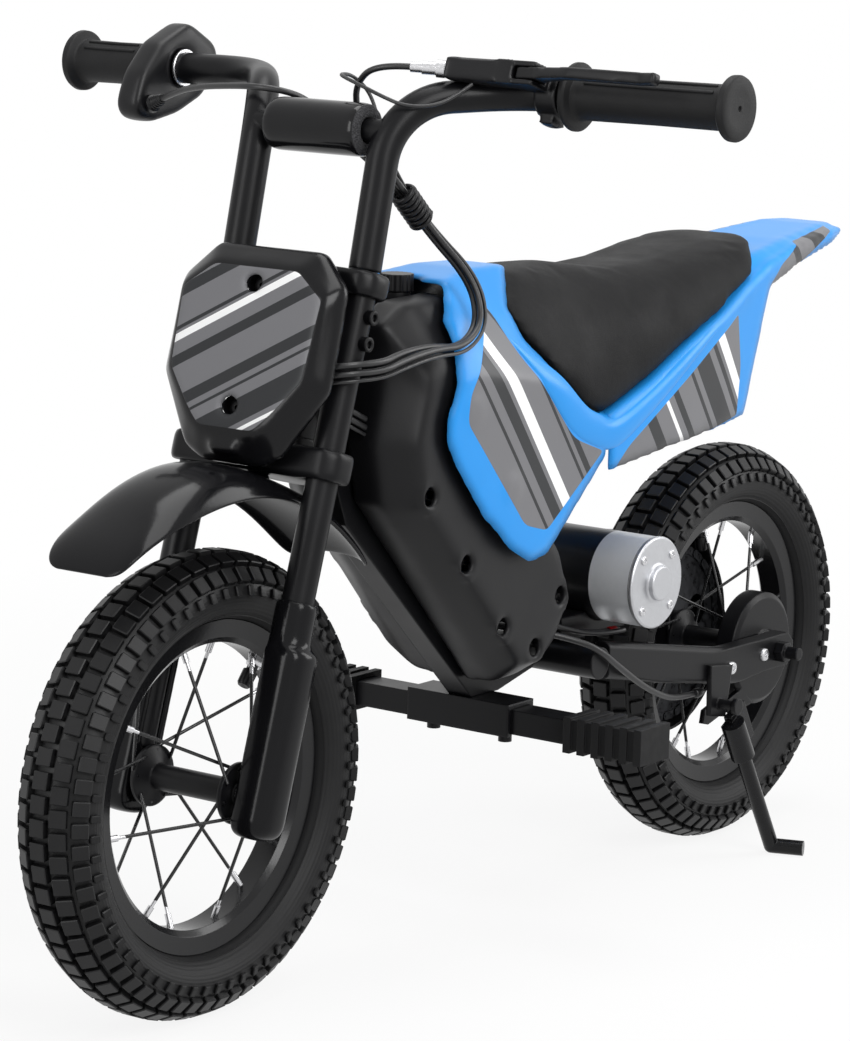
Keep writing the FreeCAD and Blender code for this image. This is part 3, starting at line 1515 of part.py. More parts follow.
# Tail: X, half width, lower edge, seat ledge height, inner half width, top of the seat base.
tail_stations = [
    (-59, 70, 332, 374, 38, 446),
    (-115, 70, 338, 393, 42, 447),
    (-170, 69, 343, 417, 48, 450),
    (-225, 66, 348, 438, 50, 456),
    (-262, 62, 352, 455, 48, 466),
    (-300, 58, 448, 469, 44, 475),
    (-350, 52, 460, 478, 39, 481),
    (-440, 42, 472, 485, 30, 488),
    (-475, 34, 479, 485, 22, 488),
]
tail_wires = []
for x, side_w, low_z, ledge_z, inner_w, base_z in tail_stations:
    outside = [(side_w, low_z), (side_w, ledge_z), (inner_w, ledge_z), (inner_w, base_z)]
    inside = [
        (side_w - fairing_wall, low_z),
        (side_w - fairing_wall, ledge_z - fairing_wall),
        (inner_w - fairing_wall, ledge_z - fairing_wall),
        (inner_w - fairing_wall, base_z - fairing_wall),
    ]
    ring = outside + [(-y, z) for y, z in reversed(outside)]
    ring += [(-y, z) for y, z in inside] + list(reversed(inside))
    tail_wires.append(polygon_wire([Vector(x, y, z) for y, z in ring]))
tail = Part.makeLoft(tail_wires, True, True)
tail_posts = []
for x, low, top in ((-110, 441, 446), (-235, 441, 456)):
    tail_posts.append(cylinder(Vector(x, 0, low), Vector(x, 0, top), 8))
shape_node("tail_fairing", join([tail] + tail_posts))

# Seat: X, side half width, flap top height, shoulder half width and height, top half width and height.
seat_stations = [
    (45, 69, 413, 50, 453, 24, 484.5),
    (0, 69, 405, 50.5, 450, 23, 483),
    (-59, 69, 398, 53, 445, 24, 479.5),
    (-115, 69, 410, 58, 452, 30, 472),
    (-170, 68, 433, 58, 461, 34, 474),
    (-225, 65, 450, 57, 471, 34, 480),
    (-262, 61, 463, 54, 478, 36, 485),
    (-300, 57, 475, 50, 484.5, 32, 489),
    (-350, 50, 482, 45, 485.5, 30, 487),
]
seat_clearance = 0.4
# Ledge height, inner half width and base height in front of the tail, over the spine.
nose_bases = [(372, 38, 452), (372, 38, 452)]
seat_bases = nose_bases + [station[3:] for station in tail_stations]
seat_wires = []
for station, base in zip(seat_stations, seat_bases):
    x, side_w, flap_z, shoulder_w, shoulder_z, top_w, top_z = station
    ledge_z, inner_w, base_z = [size + seat_clearance for size in base]

    def spot(y, z):
        return Vector(x, y, z)

    edges = [
        Part.LineSegment(spot(inner_w, ledge_z), spot(side_w, ledge_z)).toShape(),
        Part.LineSegment(spot(side_w, ledge_z), spot(side_w, flap_z)).toShape(),
        Part.Arc(spot(side_w, flap_z), spot(shoulder_w, shoulder_z), spot(top_w, top_z)).toShape(),
        Part.LineSegment(spot(top_w, top_z), spot(-top_w, top_z)).toShape(),
        Part.Arc(spot(-top_w, top_z), spot(-shoulder_w, shoulder_z), spot(-side_w, flap_z)).toShape(),
        Part.LineSegment(spot(-side_w, flap_z), spot(-side_w, ledge_z)).toShape(),
        Part.LineSegment(spot(-side_w, ledge_z), spot(-inner_w, ledge_z)).toShape(),
        Part.LineSegment(spot(-inner_w, ledge_z), spot(-inner_w, base_z)).toShape(),
        Part.LineSegment(spot(-inner_w, base_z), spot(inner_w, base_z)).toShape(),
        Part.LineSegment(spot(inner_w, base_z), spot(inner_w, ledge_z)).toShape(),
    ]
    seat_wires.append(Part.Wire(edges))
# The seat's nose keeps a gap from the fairing's rear edge.
seat_outline = [
    (-58.5, 374.5), (-34.4, 380.6), (1.4, 409.7), (32.2, 439.5), (37.1, 457.8), (4.1, 489.8), (4.1, 520),
    (-400, 520), (-400, 374.5),
]
seat_trim = Part.Face(polygon_wire([Vector(x, -100, z) for x, z in seat_outline])).extrude(Vector(0, 200, 0))
shape_node("seat_pad", Part.makeLoft(seat_wires, True, True).common(seat_trim))

# Motor leads and rear brake cable, laid by hand in the bike's frame.
lead_radius = 2.0
leads = []
for shift in (0, 5):
    lead_route = [
        Vector(-37, 26 + shift, 220),
        Vector(-54, 36 + shift, 213),
        Vector(-82, 45 + shift, 206),
        Vector(-118, 46 + shift, 204.5),
    ]
    leads.append(cable("motor_leads", lead_route, lead_radius))
shape_node("motor_leads", Part.Compound(leads))
rear_cable_radius = 2.4
rear_cable_route = [
    Vector(-26.5, 44, 214.5),
    Vector(-40, 58, 210),
    Vector(-56, 69.5, 202),
    Vector(-84, 70, 184),
    Vector(-120, 70, 163),
    Vector(-152, 68, 150),
    Vector(-184, 61, 143),
    Vector(-212, 57, 141),
]
rear_cable = cable("rear_brake_cable", rear_cable_route, rear_cable_radius)
last_run = rear_cable_route[-1] - rear_cable_route[-2]
last_run.normalize()
ferrule_start = rear_cable_route[-1]
ferrule = cylinder(ferrule_start, ferrule_start + last_run * 16, 4)
shape_node("rear_brake_cable", Part.Compound([rear_cable, ferrule]))

# Control cables: both run through a spiral wrap behind the left riser, loop beside the fairing,
# pass in front of the left leg and go back into the housing.
control_radius = 2.2
wrap_way = Vector(-55, 0, -25)
wrap_way.normalize()
wrap_start = Vector(-45, 38, 419)
wrap_length = 32
wrap_end = wrap_start + wrap_way * wrap_length
cable_offset = Vector(0, 2.9, 0)
lead_in = 14
lead_out = 12
bar_middle = vec(-d.grip_setback, 0, d.grip_height)
barrel_tip = bar_middle + barrel_start + snout_way * (barrel_length + 0.4)
wrap_corner = wrap_start - wrap_way * lead_in
wrap_exit = wrap_end + wrap_way * lead_out


def to_bike(points):
    """Points of the fork's frame in the bike's frame."""
    return [fork_place.multVec(point) for point in points]


# Loop beside the fairing in the bike's frame, then round the leg in the fork's frame.
loop_points = [
    Vector(104, 60, 486),
    Vector(108, 72, 458),
    Vector(134, 76, 443),
    Vector(170, 76, 444),
    Vector(206, 77, 440),
]
leg_points = [
    Vector(-10, 78, 292),
    Vector(18, 72, 284),
    Vector(23, 44, 277),
    Vector(2, 25, 271),
    Vector(-24, 27, 266),
    Vector(-50, 28, 262),
    Vector(-70, 28, 259.5),
]
drop = barrel_tip.z - wrap_corner.z


def falling(x, y, share):
    """A point behind the bar at a share of the drop from the lever to the wrap."""
    return Vector(x, y, wrap_corner.z + drop * share)


brake_route = to_bike([
    barrel_tip,
    barrel_tip + snout_way * 24,
    falling(-2, 14, 0.8),
    falling(-14, 10, 0.58),
    falling(-24, 14, 0.3),
    wrap_corner + cable_offset,
    wrap_exit + cable_offset,
])
brake_route += loop_points + to_bike(leg_points)
shape_node("brake_cable", cable("brake_cable", brake_route, control_radius))
throttle_start = bar_middle + vec(28, -d.throttle_inner + 4, -33)
throttle_route = to_bike([
    throttle_start,
    throttle_start + Vector(13, 28, 7),
    throttle_start + Vector(28, 62, 8.5),
    throttle_start + Vector(38, 94, 8.5),
    Vector(15, -60, 471),
    Vector(8, -40, 471.5),
    Vector(-4, -27, 469.5),
    Vector(-17, -12, 458),
    Vector(-21, 8, 442),
    wrap_corner - cable_offset,
    wrap_exit - cable_offset,
])
loop_shift = [
    Vector(-2, -4.7, -2.3),
    Vector(-0.5, -5.1, -2.3),
    Vector(0, -5.4, -1.4),
    Vector(0, -5.2, 2),
    Vector(0, -3.5, 4.4),
]
throttle_route += [spot + shift for spot, shift in zip(loop_points, loop_shift)]
throttle_route += [spot + Vector(0, 0, 5.8) for spot in to_bike(leg_points)]
shape_node("throttle_wire", cable("throttle_wire", throttle_route, control_radius))

# Thin brake switch wire: a loose bow over the crossbar pad, then the same way as the cables.
switch_radius = 1.3
switch_start = bar_middle + snout_start + snout_way * 26 + Vector(5, 0, -9.8)
switch_offset = Vector(-1.6, 0, 3.55)
switch_route = to_bike([
    switch_start,
    switch_start + Vector(9, -7, -13),
    switch_start + Vector(19, -17, -21.5),
    Vector(13, 68, 466),
    Vector(17, 52, 470.5),
    Vector(15, 32, 477),
    Vector(10, 14, 482.5),
    Vector(1, 1, 487),
    Vector(-15, 0, 490.5),
    Vector(-28, 8, 482),
    Vector(-31, 18, 462),
    wrap_corner + switch_offset,
    wrap_exit + switch_offset,
])
switch_shift = [
    Vector(-3.8, 1.5, 1),
    Vector(-3.5, 2, -2),
    Vector(-1, 2, -4),
    Vector(0, 2, -4),
    Vector(0, 2, -4.5),
]
switch_route += [spot + shift for spot, shift in zip(loop_points, switch_shift)]
switch_route += [spot + Vector(0, 0, -5) for spot in to_bike(leg_points)]
shape_node("switch_wire", cable("switch_wire", switch_route, switch_radius))


def spiral(start, way, length, coil_radius, pitch, wire_radius):
    """A coil of biarcs, one pair to each quarter turn, with straight ends."""
    side = Y_AXIS
    up = way.cross(side)
    quarters = round(4 * length / pitch)
    slope = pitch / (2 * math.pi)

    def place(i):
        angle = math.pi / 2 * i
        out = side * math.cos(angle) + up * math.sin(angle)
        turn = up * math.cos(angle) - side * math.sin(angle)
        tangent = turn * coil_radius + way * slope
        tangent.normalize()
        return start + way * (slope * angle) + out * coil_radius, tangent

    def arc(a, tangent, b):
        chord = b - a
        length = chord.Length
        chord.normalize()
        bulge = tangent - chord * tangent.dot(chord)
        angle = math.acos(tangent.dot(chord))
        bulge.normalize()
        middle = (a + b) * 0.5 + bulge * (length / 2 * math.tan(angle / 2))
        return Part.Arc(a, middle, b).toShape()

    first, first_way = place(0)
    edges = [Part.LineSegment(first - first_way * (2 * wire_radius), first).toShape()]
    for i in range(quarters):
        p0, t0 = place(i)
        p1, t1 = place(i + 1)
        span = p1 - p0
        both = t0 + t1
        spread_term = 2 * (1 - t0.dot(t1))
        reach = span.dot(both)
        step = (math.sqrt(reach ** 2 + spread_term * span.dot(span)) - reach) / spread_term
        meet = (p0 + p1 + (t0 - t1) * step) * 0.5
        edges.append(arc(p0, t0, meet))
        middle_way = p1 - t1 * step - (p0 + t0 * step)
        middle_way.normalize()
        edges.append(arc(meet, middle_way, p1))
    last, last_way = place(quarters)
    edges.append(Part.LineSegment(last, last + last_way * (2 * wire_radius)).toShape())
    return Part.Wire(edges)


coil_wire_radius = 1.9
coil_radius = 7.6
coil_pitch = 4.8
coil_line = spiral(wrap_start, wrap_way, wrap_length, coil_radius, coil_pitch, coil_wire_radius)
coil = sweep_circle(coil_line, coil_wire_radius)
coil_ideal = math.pi * coil_wire_radius ** 2 * coil_line.Length
coil_gap = coil_pitch - 2 * coil_wire_radius
print("cable_wrap volume ratio", round(coil.Volume / coil_ideal, 4), "self gap", round(coil_gap, 2))
shape_node("cable_wrap", coil, fork_place)

doc.recompute()
for item in nodes:
    if "Invalid" in item.State or "Error" in item.State:
        raise RuntimeError(f"{item.Label}: {item.State}")
    if item.Shape.isNull() or not item.Shape.isValid():
        raise RuntimeError(f"{item.Label}: bad shape")
os.makedirs("parts", exist_ok=True)
for item in nodes:
    item.Shape.exportStep(f"parts/{item.Label}.step")
print(len(nodes), "parts written")
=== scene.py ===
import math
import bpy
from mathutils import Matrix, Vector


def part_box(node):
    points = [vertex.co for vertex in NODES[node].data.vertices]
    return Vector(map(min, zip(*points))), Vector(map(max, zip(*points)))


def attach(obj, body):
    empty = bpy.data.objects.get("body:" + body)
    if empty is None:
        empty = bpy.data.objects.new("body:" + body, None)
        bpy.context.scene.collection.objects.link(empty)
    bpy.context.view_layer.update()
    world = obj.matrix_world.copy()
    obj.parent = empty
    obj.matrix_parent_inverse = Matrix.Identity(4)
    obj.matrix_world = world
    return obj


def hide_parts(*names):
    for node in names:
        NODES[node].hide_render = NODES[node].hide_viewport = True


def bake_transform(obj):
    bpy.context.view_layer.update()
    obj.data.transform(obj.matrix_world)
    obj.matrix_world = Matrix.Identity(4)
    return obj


bl_info = {
    "name": "Kids electric motorbike",
    "version": (1, 0, 0),
    "blender": (4, 5, 0),
    "location": "View3D > Sidebar > Motorbike",
    "description": "Builds the looks of a child's electric dirt bike around its CAD frame",
    "category": "Object",
}

import bmesh
import bpy
from bpy.props import FloatProperty, FloatVectorProperty, IntProperty, PointerProperty
from mathutils import Matrix, Vector

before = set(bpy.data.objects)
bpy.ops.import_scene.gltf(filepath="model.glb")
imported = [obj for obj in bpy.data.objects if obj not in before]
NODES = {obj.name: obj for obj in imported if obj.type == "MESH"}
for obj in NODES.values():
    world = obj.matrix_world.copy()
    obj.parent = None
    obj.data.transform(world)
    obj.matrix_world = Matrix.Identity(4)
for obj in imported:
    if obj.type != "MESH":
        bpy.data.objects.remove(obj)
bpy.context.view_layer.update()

# Cable routes of the CAD source, in metres.
BRAKE_ROUTE = [
    (0.1783, 0.0553, 0.6329), (0.1876, 0.0332, 0.6336), (0.1835, 0.0140, 0.6196),
    (0.1765, 0.0100, 0.6011), (0.1727, 0.0140, 0.5791), (0.1709, 0.0409, 0.5562),
    (0.1272, 0.0409, 0.5181), (0.1040, 0.0600, 0.4860), (0.1080, 0.0720, 0.4580),
    (0.1340, 0.0760, 0.4430), (0.1700, 0.0760, 0.4440), (0.2060, 0.0770, 0.4400),
    (0.2303, 0.0780, 0.4354), (0.2594, 0.0720, 0.4357), (0.2662, 0.0440, 0.4305),
    (0.2478, 0.0250, 0.4187), (0.2243, 0.0270, 0.4065), (0.2005, 0.0280, 0.3952),
    (0.1821, 0.0280, 0.3871),
]
THROTTLE_ROUTE = [
    (0.1621, -0.1800, 0.5935), (0.1725, -0.1520, 0.6039), (0.1865, -0.1180, 0.6097),
    (0.1961, -0.0860, 0.6125), (0.2029, -0.0600, 0.6140), (0.1961, -0.0400, 0.6125),
    (0.1851, -0.0270, 0.6072), (0.1760, -0.0120, 0.5924), (0.1767, 0.0080, 0.5760),
    (0.1709, 0.0351, 0.5562), (0.1272, 0.0351, 0.5181), (0.1020, 0.0553, 0.4837),
    (0.1075, 0.0669, 0.4557), (0.1340, 0.0706, 0.4416), (0.1700, 0.0708, 0.4460),
    (0.2060, 0.0735, 0.4444), (0.2303, 0.0780, 0.4412), (0.2594, 0.0720, 0.4415),
    (0.2662, 0.0440, 0.4363), (0.2478, 0.0250, 0.4245), (0.2243, 0.0270, 0.4123),
    (0.2005, 0.0280, 0.4010), (0.1821, 0.0280, 0.3929),
]
SWITCH_ROUTE = [
    (0.1686, 0.0991, 0.6237), (0.1810, 0.0921, 0.6138), (0.1930, 0.0821, 0.6085),
    (0.2024, 0.0680, 0.6087), (0.2050, 0.0520, 0.6141), (0.2012, 0.0320, 0.6198),
    (0.1948, 0.0140, 0.6236), (0.1849, 0.0010, 0.6254), (0.1686, 0.0000, 0.6241),
    (0.1586, 0.0080, 0.6123), (0.1614, 0.0180, 0.5922), (0.1683, 0.0380, 0.5592),
    (0.1246, 0.0380, 0.5211), (0.1002, 0.0615, 0.4870), (0.1045, 0.0740, 0.4560),
    (0.1330, 0.0780, 0.4390), (0.1700, 0.0780, 0.4400), (0.2060, 0.0790, 0.4355),
    (0.2303, 0.0780, 0.4304), (0.2594, 0.0720, 0.4307), (0.2662, 0.0440, 0.4255),
    (0.2478, 0.0250, 0.4137), (0.2243, 0.0270, 0.4015), (0.2005, 0.0280, 0.3902),
    (0.1821, 0.0280, 0.3821),
]
LEAD_ROUTE = [
    (-0.037, 0.026, 0.220), (-0.054, 0.036, 0.213), (-0.082, 0.045, 0.206), (-0.118, 0.046, 0.2045),
]
REAR_ROUTE = [
    (-0.0265, 0.044, 0.2145), (-0.040, 0.058, 0.210), (-0.056, 0.0695, 0.202), (-0.084, 0.070, 0.184),
    (-0.120, 0.070, 0.163), (-0.152, 0.068, 0.150), (-0.184, 0.061, 0.143), (-0.212, 0.057, 0.141),
]

# Centres of the housing's screw wells, along and up, in metres.
HOUSING_SCREWS = [(0.146, 0.338), (0.100, 0.285), (0.053, 0.233), (0.012, 0.212), (-0.019, 0.246)]

# The axles stand this far from the middle, at the wheels' radius above the ground.
WHEEL_X = 0.3235
WHEEL_RADIUS = 0.1585

# The fork's frame: its origin is on the front axle and its third axis runs up the legs.
FORK_ORIGIN = Vector((WHEEL_X, 0, WHEEL_RADIUS))
FORK_AHEAD = Vector((0.95807, 0, 0.28652))
FORK_UP = Vector((-0.28652, 0, 0.95807))
SIDE = Vector((0, 1, 0))

PLATE_RISE = 0.291  # the number plate's middle above the front axle, along the fork
STRIPE_WAY = (0.80, 0, -0.60)  # across the racing stripes of the fairings
COLOUR_MIX = {"out": 2, "data_type": "RGBA"}


def fork_spot(ahead, side, up):
    """A point of the fork's frame in the bike's frame, in metres."""
    return FORK_ORIGIN + FORK_AHEAD * ahead + SIDE * side + FORK_UP * up


def plate_holes():
    """Centres of the number plate's two screw holes."""
    return [fork_spot(0.046, 0, PLATE_RISE + rise) for rise in (0.042, -0.041)]


def settings(context):
    """The sizes and colours that the sidebar shows."""
    return context.scene.motorbike_sizes, context.scene.motorbike_colours


def hex_colour(code):
    """Linear red, green and blue of a six-digit sRGB code."""
    channels = [int(code[i:i + 2], 16) / 255 for i in (0, 2, 4)]
    return tuple(c / 12.92 if c <= 0.04045 else ((c + 0.055) / 1.055) ** 2.4 for c in channels)


def colour_setting(name, description, code):
    return FloatVectorProperty(
        name=name, description=description, subtype="COLOR", size=3, min=0, max=1, default=hex_colour(code)
    )


def length_setting(name, description, default):
    return FloatProperty(name=name, description=description, unit="LENGTH", precision=4, default=default)


class MotorbikeColours(bpy.types.PropertyGroup):
    """Colours of the finishes."""

    blue: colour_setting("Blue", "Bodywork moulding", "2590E0")
    decal_grey: colour_setting("Decal grey", "Ground of the printed panels", "707073")
    decal_dark: colour_setting("Decal dark", "Dark racing stripes", "2A2B2D")
    decal_white: colour_setting("Decal white", "White racing stripes", "F2F2F2")
    plastic: colour_setting("Black plastic", "Housing, fender and covers", "0D0D0F")
    metal: colour_setting("Black metal", "Powder-coated tubes and bars", "0C0C0E")
    rubber: colour_setting("Rubber", "Tyres and grips", "0F0F10")
    vinyl: colour_setting("Vinyl", "Seat cover", "0F0F10")
    steel: colour_setting("Steel", "Bright fasteners", "C8C8CA")
    aluminium: colour_setting("Aluminium", "Cast motor cap", "B9BABD")
    label: colour_setting("Label", "Bare label on the motor", "C9CBCE")
    foam: colour_setting("Foam", "Open ends of the crossbar pad", "3A3A3C")


class MotorbikeSizes(bpy.types.PropertyGroup):
    """Sizes of the pieces made here."""

    cable_diameter: length_setting("Cable diameter", "Brake and throttle cables", 0.0044)
    switch_diameter: length_setting("Switch wire", "Thin brake switch wire", 0.0026)
    rear_diameter: length_setting("Rear cable", "Cable to the drum brake", 0.0048)
    lead_diameter: length_setting("Motor lead", "Each of the motor's two leads", 0.0040)
    edge: length_setting("Edge round", "Rounded look of moulded edges", 0.0012)
    voxel: length_setting("Padding mesh", "Remesh size of the seat", 0.005)
    seat_swell: length_setting("Seat swell", "Most that stuffing moves the seat's cover", 0.0035)
    pad_swell: length_setting("Pad swell", "Most that stuffing moves the pad's cover", 0.0012)
    grain: length_setting("Grain", "Size of the vinyl's grain", 0.0011)
    texture: length_setting("Moulded texture", "Size of the plastic's fine texture", 0.0009)
    tread_height: length_setting("Tread height", "Height of the tyre's blocks", 0.0042)
    crown_radius: length_setting("Crown radius", "Round of the tyre across its crown", 0.030)
    tread_count: IntProperty(name="Tread blocks", description="Blocks in each row round a tyre", default=64)
    pressure: FloatProperty(name="Pressure", description="Stuffing pressure", default=4.0)
    frames: IntProperty(name="Frames", description="Steps of the stuffing", default=20)


class Nodes:
    """Adds shader nodes to a tree."""

    def __init__(self, tree):
        self.tree = tree
        tree.nodes.clear()

    def add(self, kind, inputs=(), out=0, **settings):
        """A node with its settings and links; an input is a number, a colour or a node's output.

        A texture reads the object's coordinates unless it is given others.
        """
        item = self.tree.nodes.new("ShaderNode" + kind)
        for name, value in settings.items():
            setattr(item, name, value)
        if kind in ("TexNoise", "TexVoronoi"):
            self.feed(item.inputs["Vector"], self.place)
        pairs = inputs.items() if isinstance(inputs, dict) else enumerate(inputs)
        for key, value in pairs:
            self.feed(item.inputs[key], value)
        return item.outputs[out] if out is not None else item

    def feed(self, socket, value):
        if isinstance(value, bpy.types.NodeSocket):
            self.tree.links.new(value, socket)
        elif socket.type == "RGBA" and len(value) == 3:
            socket.default_value = (*value, 1)
        else:
            socket.default_value = value

    def background_rays(self):
        """One for rays that should see the white background: from the eye, a mirror or clear glass."""
        rays = self.add("LightPath", out=None).outputs
        seen = self.add("Math", (rays["Is Camera Ray"], rays["Is Glossy Ray"]), operation="MAXIMUM")
        return self.add("Math", (seen, rays["Is Transmission Ray"]), operation="MAXIMUM")


class Look(Nodes):
    """A material with one principled shader on object coordinates."""

    def __init__(self, name):
        self.material = bpy.data.materials.new(name)
        self.material.use_nodes = True
        super().__init__(self.material.node_tree)
        self.shader = self.add("BsdfPrincipled", out=None)
        self.output = self.add("OutputMaterial", (self.shader.outputs[0],), out=None)
        self.place = self.add("TexCoord", out="Object")
        self.x, self.y, self.z = self.add("SeparateXYZ", (self.place,), out=None).outputs

    def set(self, **values):
        """Inputs of the shader, such as base_color or roughness."""
        for key, value in values.items():
            name = key.replace("_", " ").title().replace("Ior", "IOR")
            self.feed(self.shader.inputs[name], value)

    def shade(self, colour, share, amount):
        """The colour made lighter and darker by a pattern."""
        low = tuple(c * (1 - amount) for c in colour)
        high = tuple(min(1, c * (1 + amount) + 0.004 * amount) for c in colour)
        return self.add("Mix", {0: share, 6: low, 7: high}, **COLOUR_MIX)

    def along(self, direction, offset=0.0):
        """Distance of the surface along a direction, in metres."""
        run = self.add("VectorMath", (self.place, tuple(direction)), out="Value", operation="DOT_PRODUCT")
        return self.add("Math", (run, offset), operation="ADD")

    def axle_distance(self):
        """Distance from the nearer wheel's axle, in metres."""
        near = self.add("VectorMath", (self.place,), operation="ABSOLUTE")
        arm = self.add("VectorMath", (near, (WHEEL_X, 0, WHEEL_RADIUS)), operation="SUBTRACT")
        flat = self.add("VectorMath", (arm, (1, 0, 1)), operation="MULTIPLY")
        return self.add("VectorMath", (flat,), out="Value", operation="LENGTH")

    def edge_side(self, across, up, start, end):
        """Signed distance from a line of a panel's outline, in metres; inside is to its left."""
        run = (Vector(end) - Vector(start)).normalized()
        part = self.add("Math", (across, -run.y), operation="MULTIPLY")
        part = self.add("Math", (up, run.x, part), operation="MULTIPLY_ADD")
        return self.add("Math", (part, start[0] * run.y - start[1] * run.x), operation="ADD")

    def panel(self, across, up, corners, soft=0.006, closed=True):
        """Depth inside a convex outline with rounded corners, in metres."""
        edges = list(zip(corners, corners[1:]))
        if closed:
            edges.insert(0, (corners[-1], corners[0]))
        depth = self.edge_side(across, up, *edges[0])
        for start, end in edges[1:]:
            side = self.edge_side(across, up, start, end)
            depth = self.add("Math", (depth, side, soft), operation="SMOOTH_MIN")
        return depth

    def stripes(self, run, colours, whites, darks):
        """White and dark bands on the decals' grey; a band is its start and end along a direction."""
        bands = [(band, colours.decal_white[:]) for band in whites]
        bands += [(band, colours.decal_dark[:]) for band in darks]
        colour = colours.decal_grey[:]
        for (start, end), paint in bands:
            share = self.add("Math", (run, (start + end) / 2, (end - start) / 2), operation="COMPARE")
            colour = self.add("Mix", {0: share, 6: colour, 7: paint}, **COLOUR_MIX)
        return colour


def grained_look(name, colour, shade, rough, bump, edge=0.0, **constants):
    """A finish whose colour, gloss and relief follow noises; edge is the rounded look of its edges.

    Each noise starts with its size in metres and its detail. Then shade has its amount, rough its
    lowest and highest roughness, and bump its depth in metres and its strength.
    """
    look = Look(name)
    noise = {}
    for size, detail in dict.fromkeys(grain[:2] for grain in (shade, rough, bump)):
        noise[size, detail] = look.add("TexNoise", {"Scale": 1 / size, "Detail": detail})
    look.set(base_color=look.shade(colour, noise[shade[:2]], shade[2]), **constants)
    look.set(roughness=look.add("MapRange", (noise[rough[:2]], 0.3, 0.7, *rough[2:])))
    relief = {"Height": noise[bump[:2]], "Distance": bump[2], "Strength": bump[3]}
    if edge:
        relief["Normal"] = look.add("Bevel", (edge,), samples=6)
    look.set(normal=look.add("Bump", relief))
    return look


def plastic_look(name, colour, roughness, edge, texture, depth, coat=0.0, specular=0.24):
    """Injection-moulded plastic: rounded edges, a fine texture and a slight flow in its gloss."""
    return grained_look(
        name, colour, (0.05, 3, 0.1), (0.05, 3, roughness * 0.88, roughness * 1.14), (texture, 3, depth, 0.6),
        edge, coat_weight=coat, coat_roughness=0.08, specular_ior_level=specular,
    )


def bright_steel(colours):
    """Zinc-plated steel: metallic, with a brushed haze."""
    look = Look("bright_zinc_steel")
    lengthways = look.add("Mapping", {"Vector": look.place, "Scale": (1, 0.1, 1)})
    brushed = look.add("TexNoise", {"Vector": lengthways, "Scale": 1 / 0.0008, "Detail": 3})
    look.set(base_color=look.shade(colours.steel[:], brushed, 0.12), metallic=1.0)
    look.set(roughness=look.add("MapRange", (brushed, 0.3, 0.7, 0.2, 0.34)))
    edge = look.add("Bevel", (0.0005,), samples=6)
    relief = {"Height": brushed, "Distance": 0.00003, "Strength": 0.5, "Normal": edge}
    look.set(normal=look.add("Bump", relief))
    return look


def paint_all(look, names):
    """Puts a material on CAD nodes."""
    for name in names:
        mesh = NODES[name].data
        mesh.materials.clear()
        mesh.materials.append(look.material)


def link_piece(mesh, name, look, body):
    """A new object at the origin that rides a CAD body."""
    piece = bpy.data.objects.new(name, mesh)
    bpy.context.scene.collection.objects.link(piece)
    mesh.materials.clear()
    mesh.materials.append(look.material)
    if body:
        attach(piece, body)
    return piece


def shade_smooth(mesh, angle):
    """Smooth faces with creases kept past an angle."""
    mesh.shade_smooth()
    mesh.set_sharp_from_angle(angle=angle)


def finished_mesh(form, name, angle=0.6):
    """The mesh of a bmesh, shaded smooth."""
    mesh = bpy.data.meshes.new(name)
    form.to_mesh(mesh)
    form.free()
    shade_smooth(mesh, angle)
    return mesh


def bridge_rows(form, rows):
    """Joins rows of vertices into one sheet whose faces point one way."""
    chains = [[form.edges.new(pair) for pair in zip(row, row[1:])] for row in rows]
    for a, b in zip(chains, chains[1:]):
        bmesh.ops.bridge_loops(form, edges=a + b)
    bmesh.ops.recalc_face_normals(form, faces=form.faces)


def round_edges(form, edges, offset, segments):
    bmesh.ops.bevel(
        form, geom=edges, offset=offset, segments=segments, profile=0.5, affect="EDGES", material=-1
    )


def spin_profile(points, centre, axis, steps=40):
    """A bmesh turned about an axis from (distance along it, radius) points."""
    axis = Vector(axis).normalized()
    out = axis.orthogonal().normalized()
    form = bmesh.new()
    ring = [form.verts.new(Vector(centre) + axis * run + out * radius) for run, radius in points]
    edges = [form.edges.new(pair) for pair in zip(ring, ring[1:])]
    bmesh.ops.spin(
        form, geom=ring + edges, cent=centre, axis=axis, angle=2 * math.pi, steps=steps, use_merge=True
    )
    bmesh.ops.remove_doubles(form, verts=form.verts, dist=1e-6)
    bmesh.ops.recalc_face_normals(form, faces=form.faces)
    return form


def turned_piece(name, points, centre, axis, look, body, steps=40):
    """A piece turned from its profile, as spin_profile takes it."""
    mesh = finished_mesh(spin_profile(points, centre, axis, steps), name)
    return link_piece(mesh, name, look, body)


def spline_points(route):
    """Points of the smooth line that a route's control points give."""
    curve = bpy.data.curves.new("route", "CURVE")
    curve.dimensions = "3D"
    curve.resolution_u = 16
    spline = curve.splines.new("NURBS")
    spline.points.add(len(route) - 1)
    for point, spot in zip(spline.points, route):
        point.co = (*spot, 1)
    spline.order_u = 3
    spline.use_endpoint_u = True
    holder = bpy.data.objects.new("route", curve)
    line = bpy.data.meshes.new_from_object(holder)
    points = [vertex.co.copy() for vertex in line.vertices]
    bpy.data.objects.remove(holder)
    bpy.data.curves.remove(curve)
    bpy.data.meshes.remove(line)
    return points


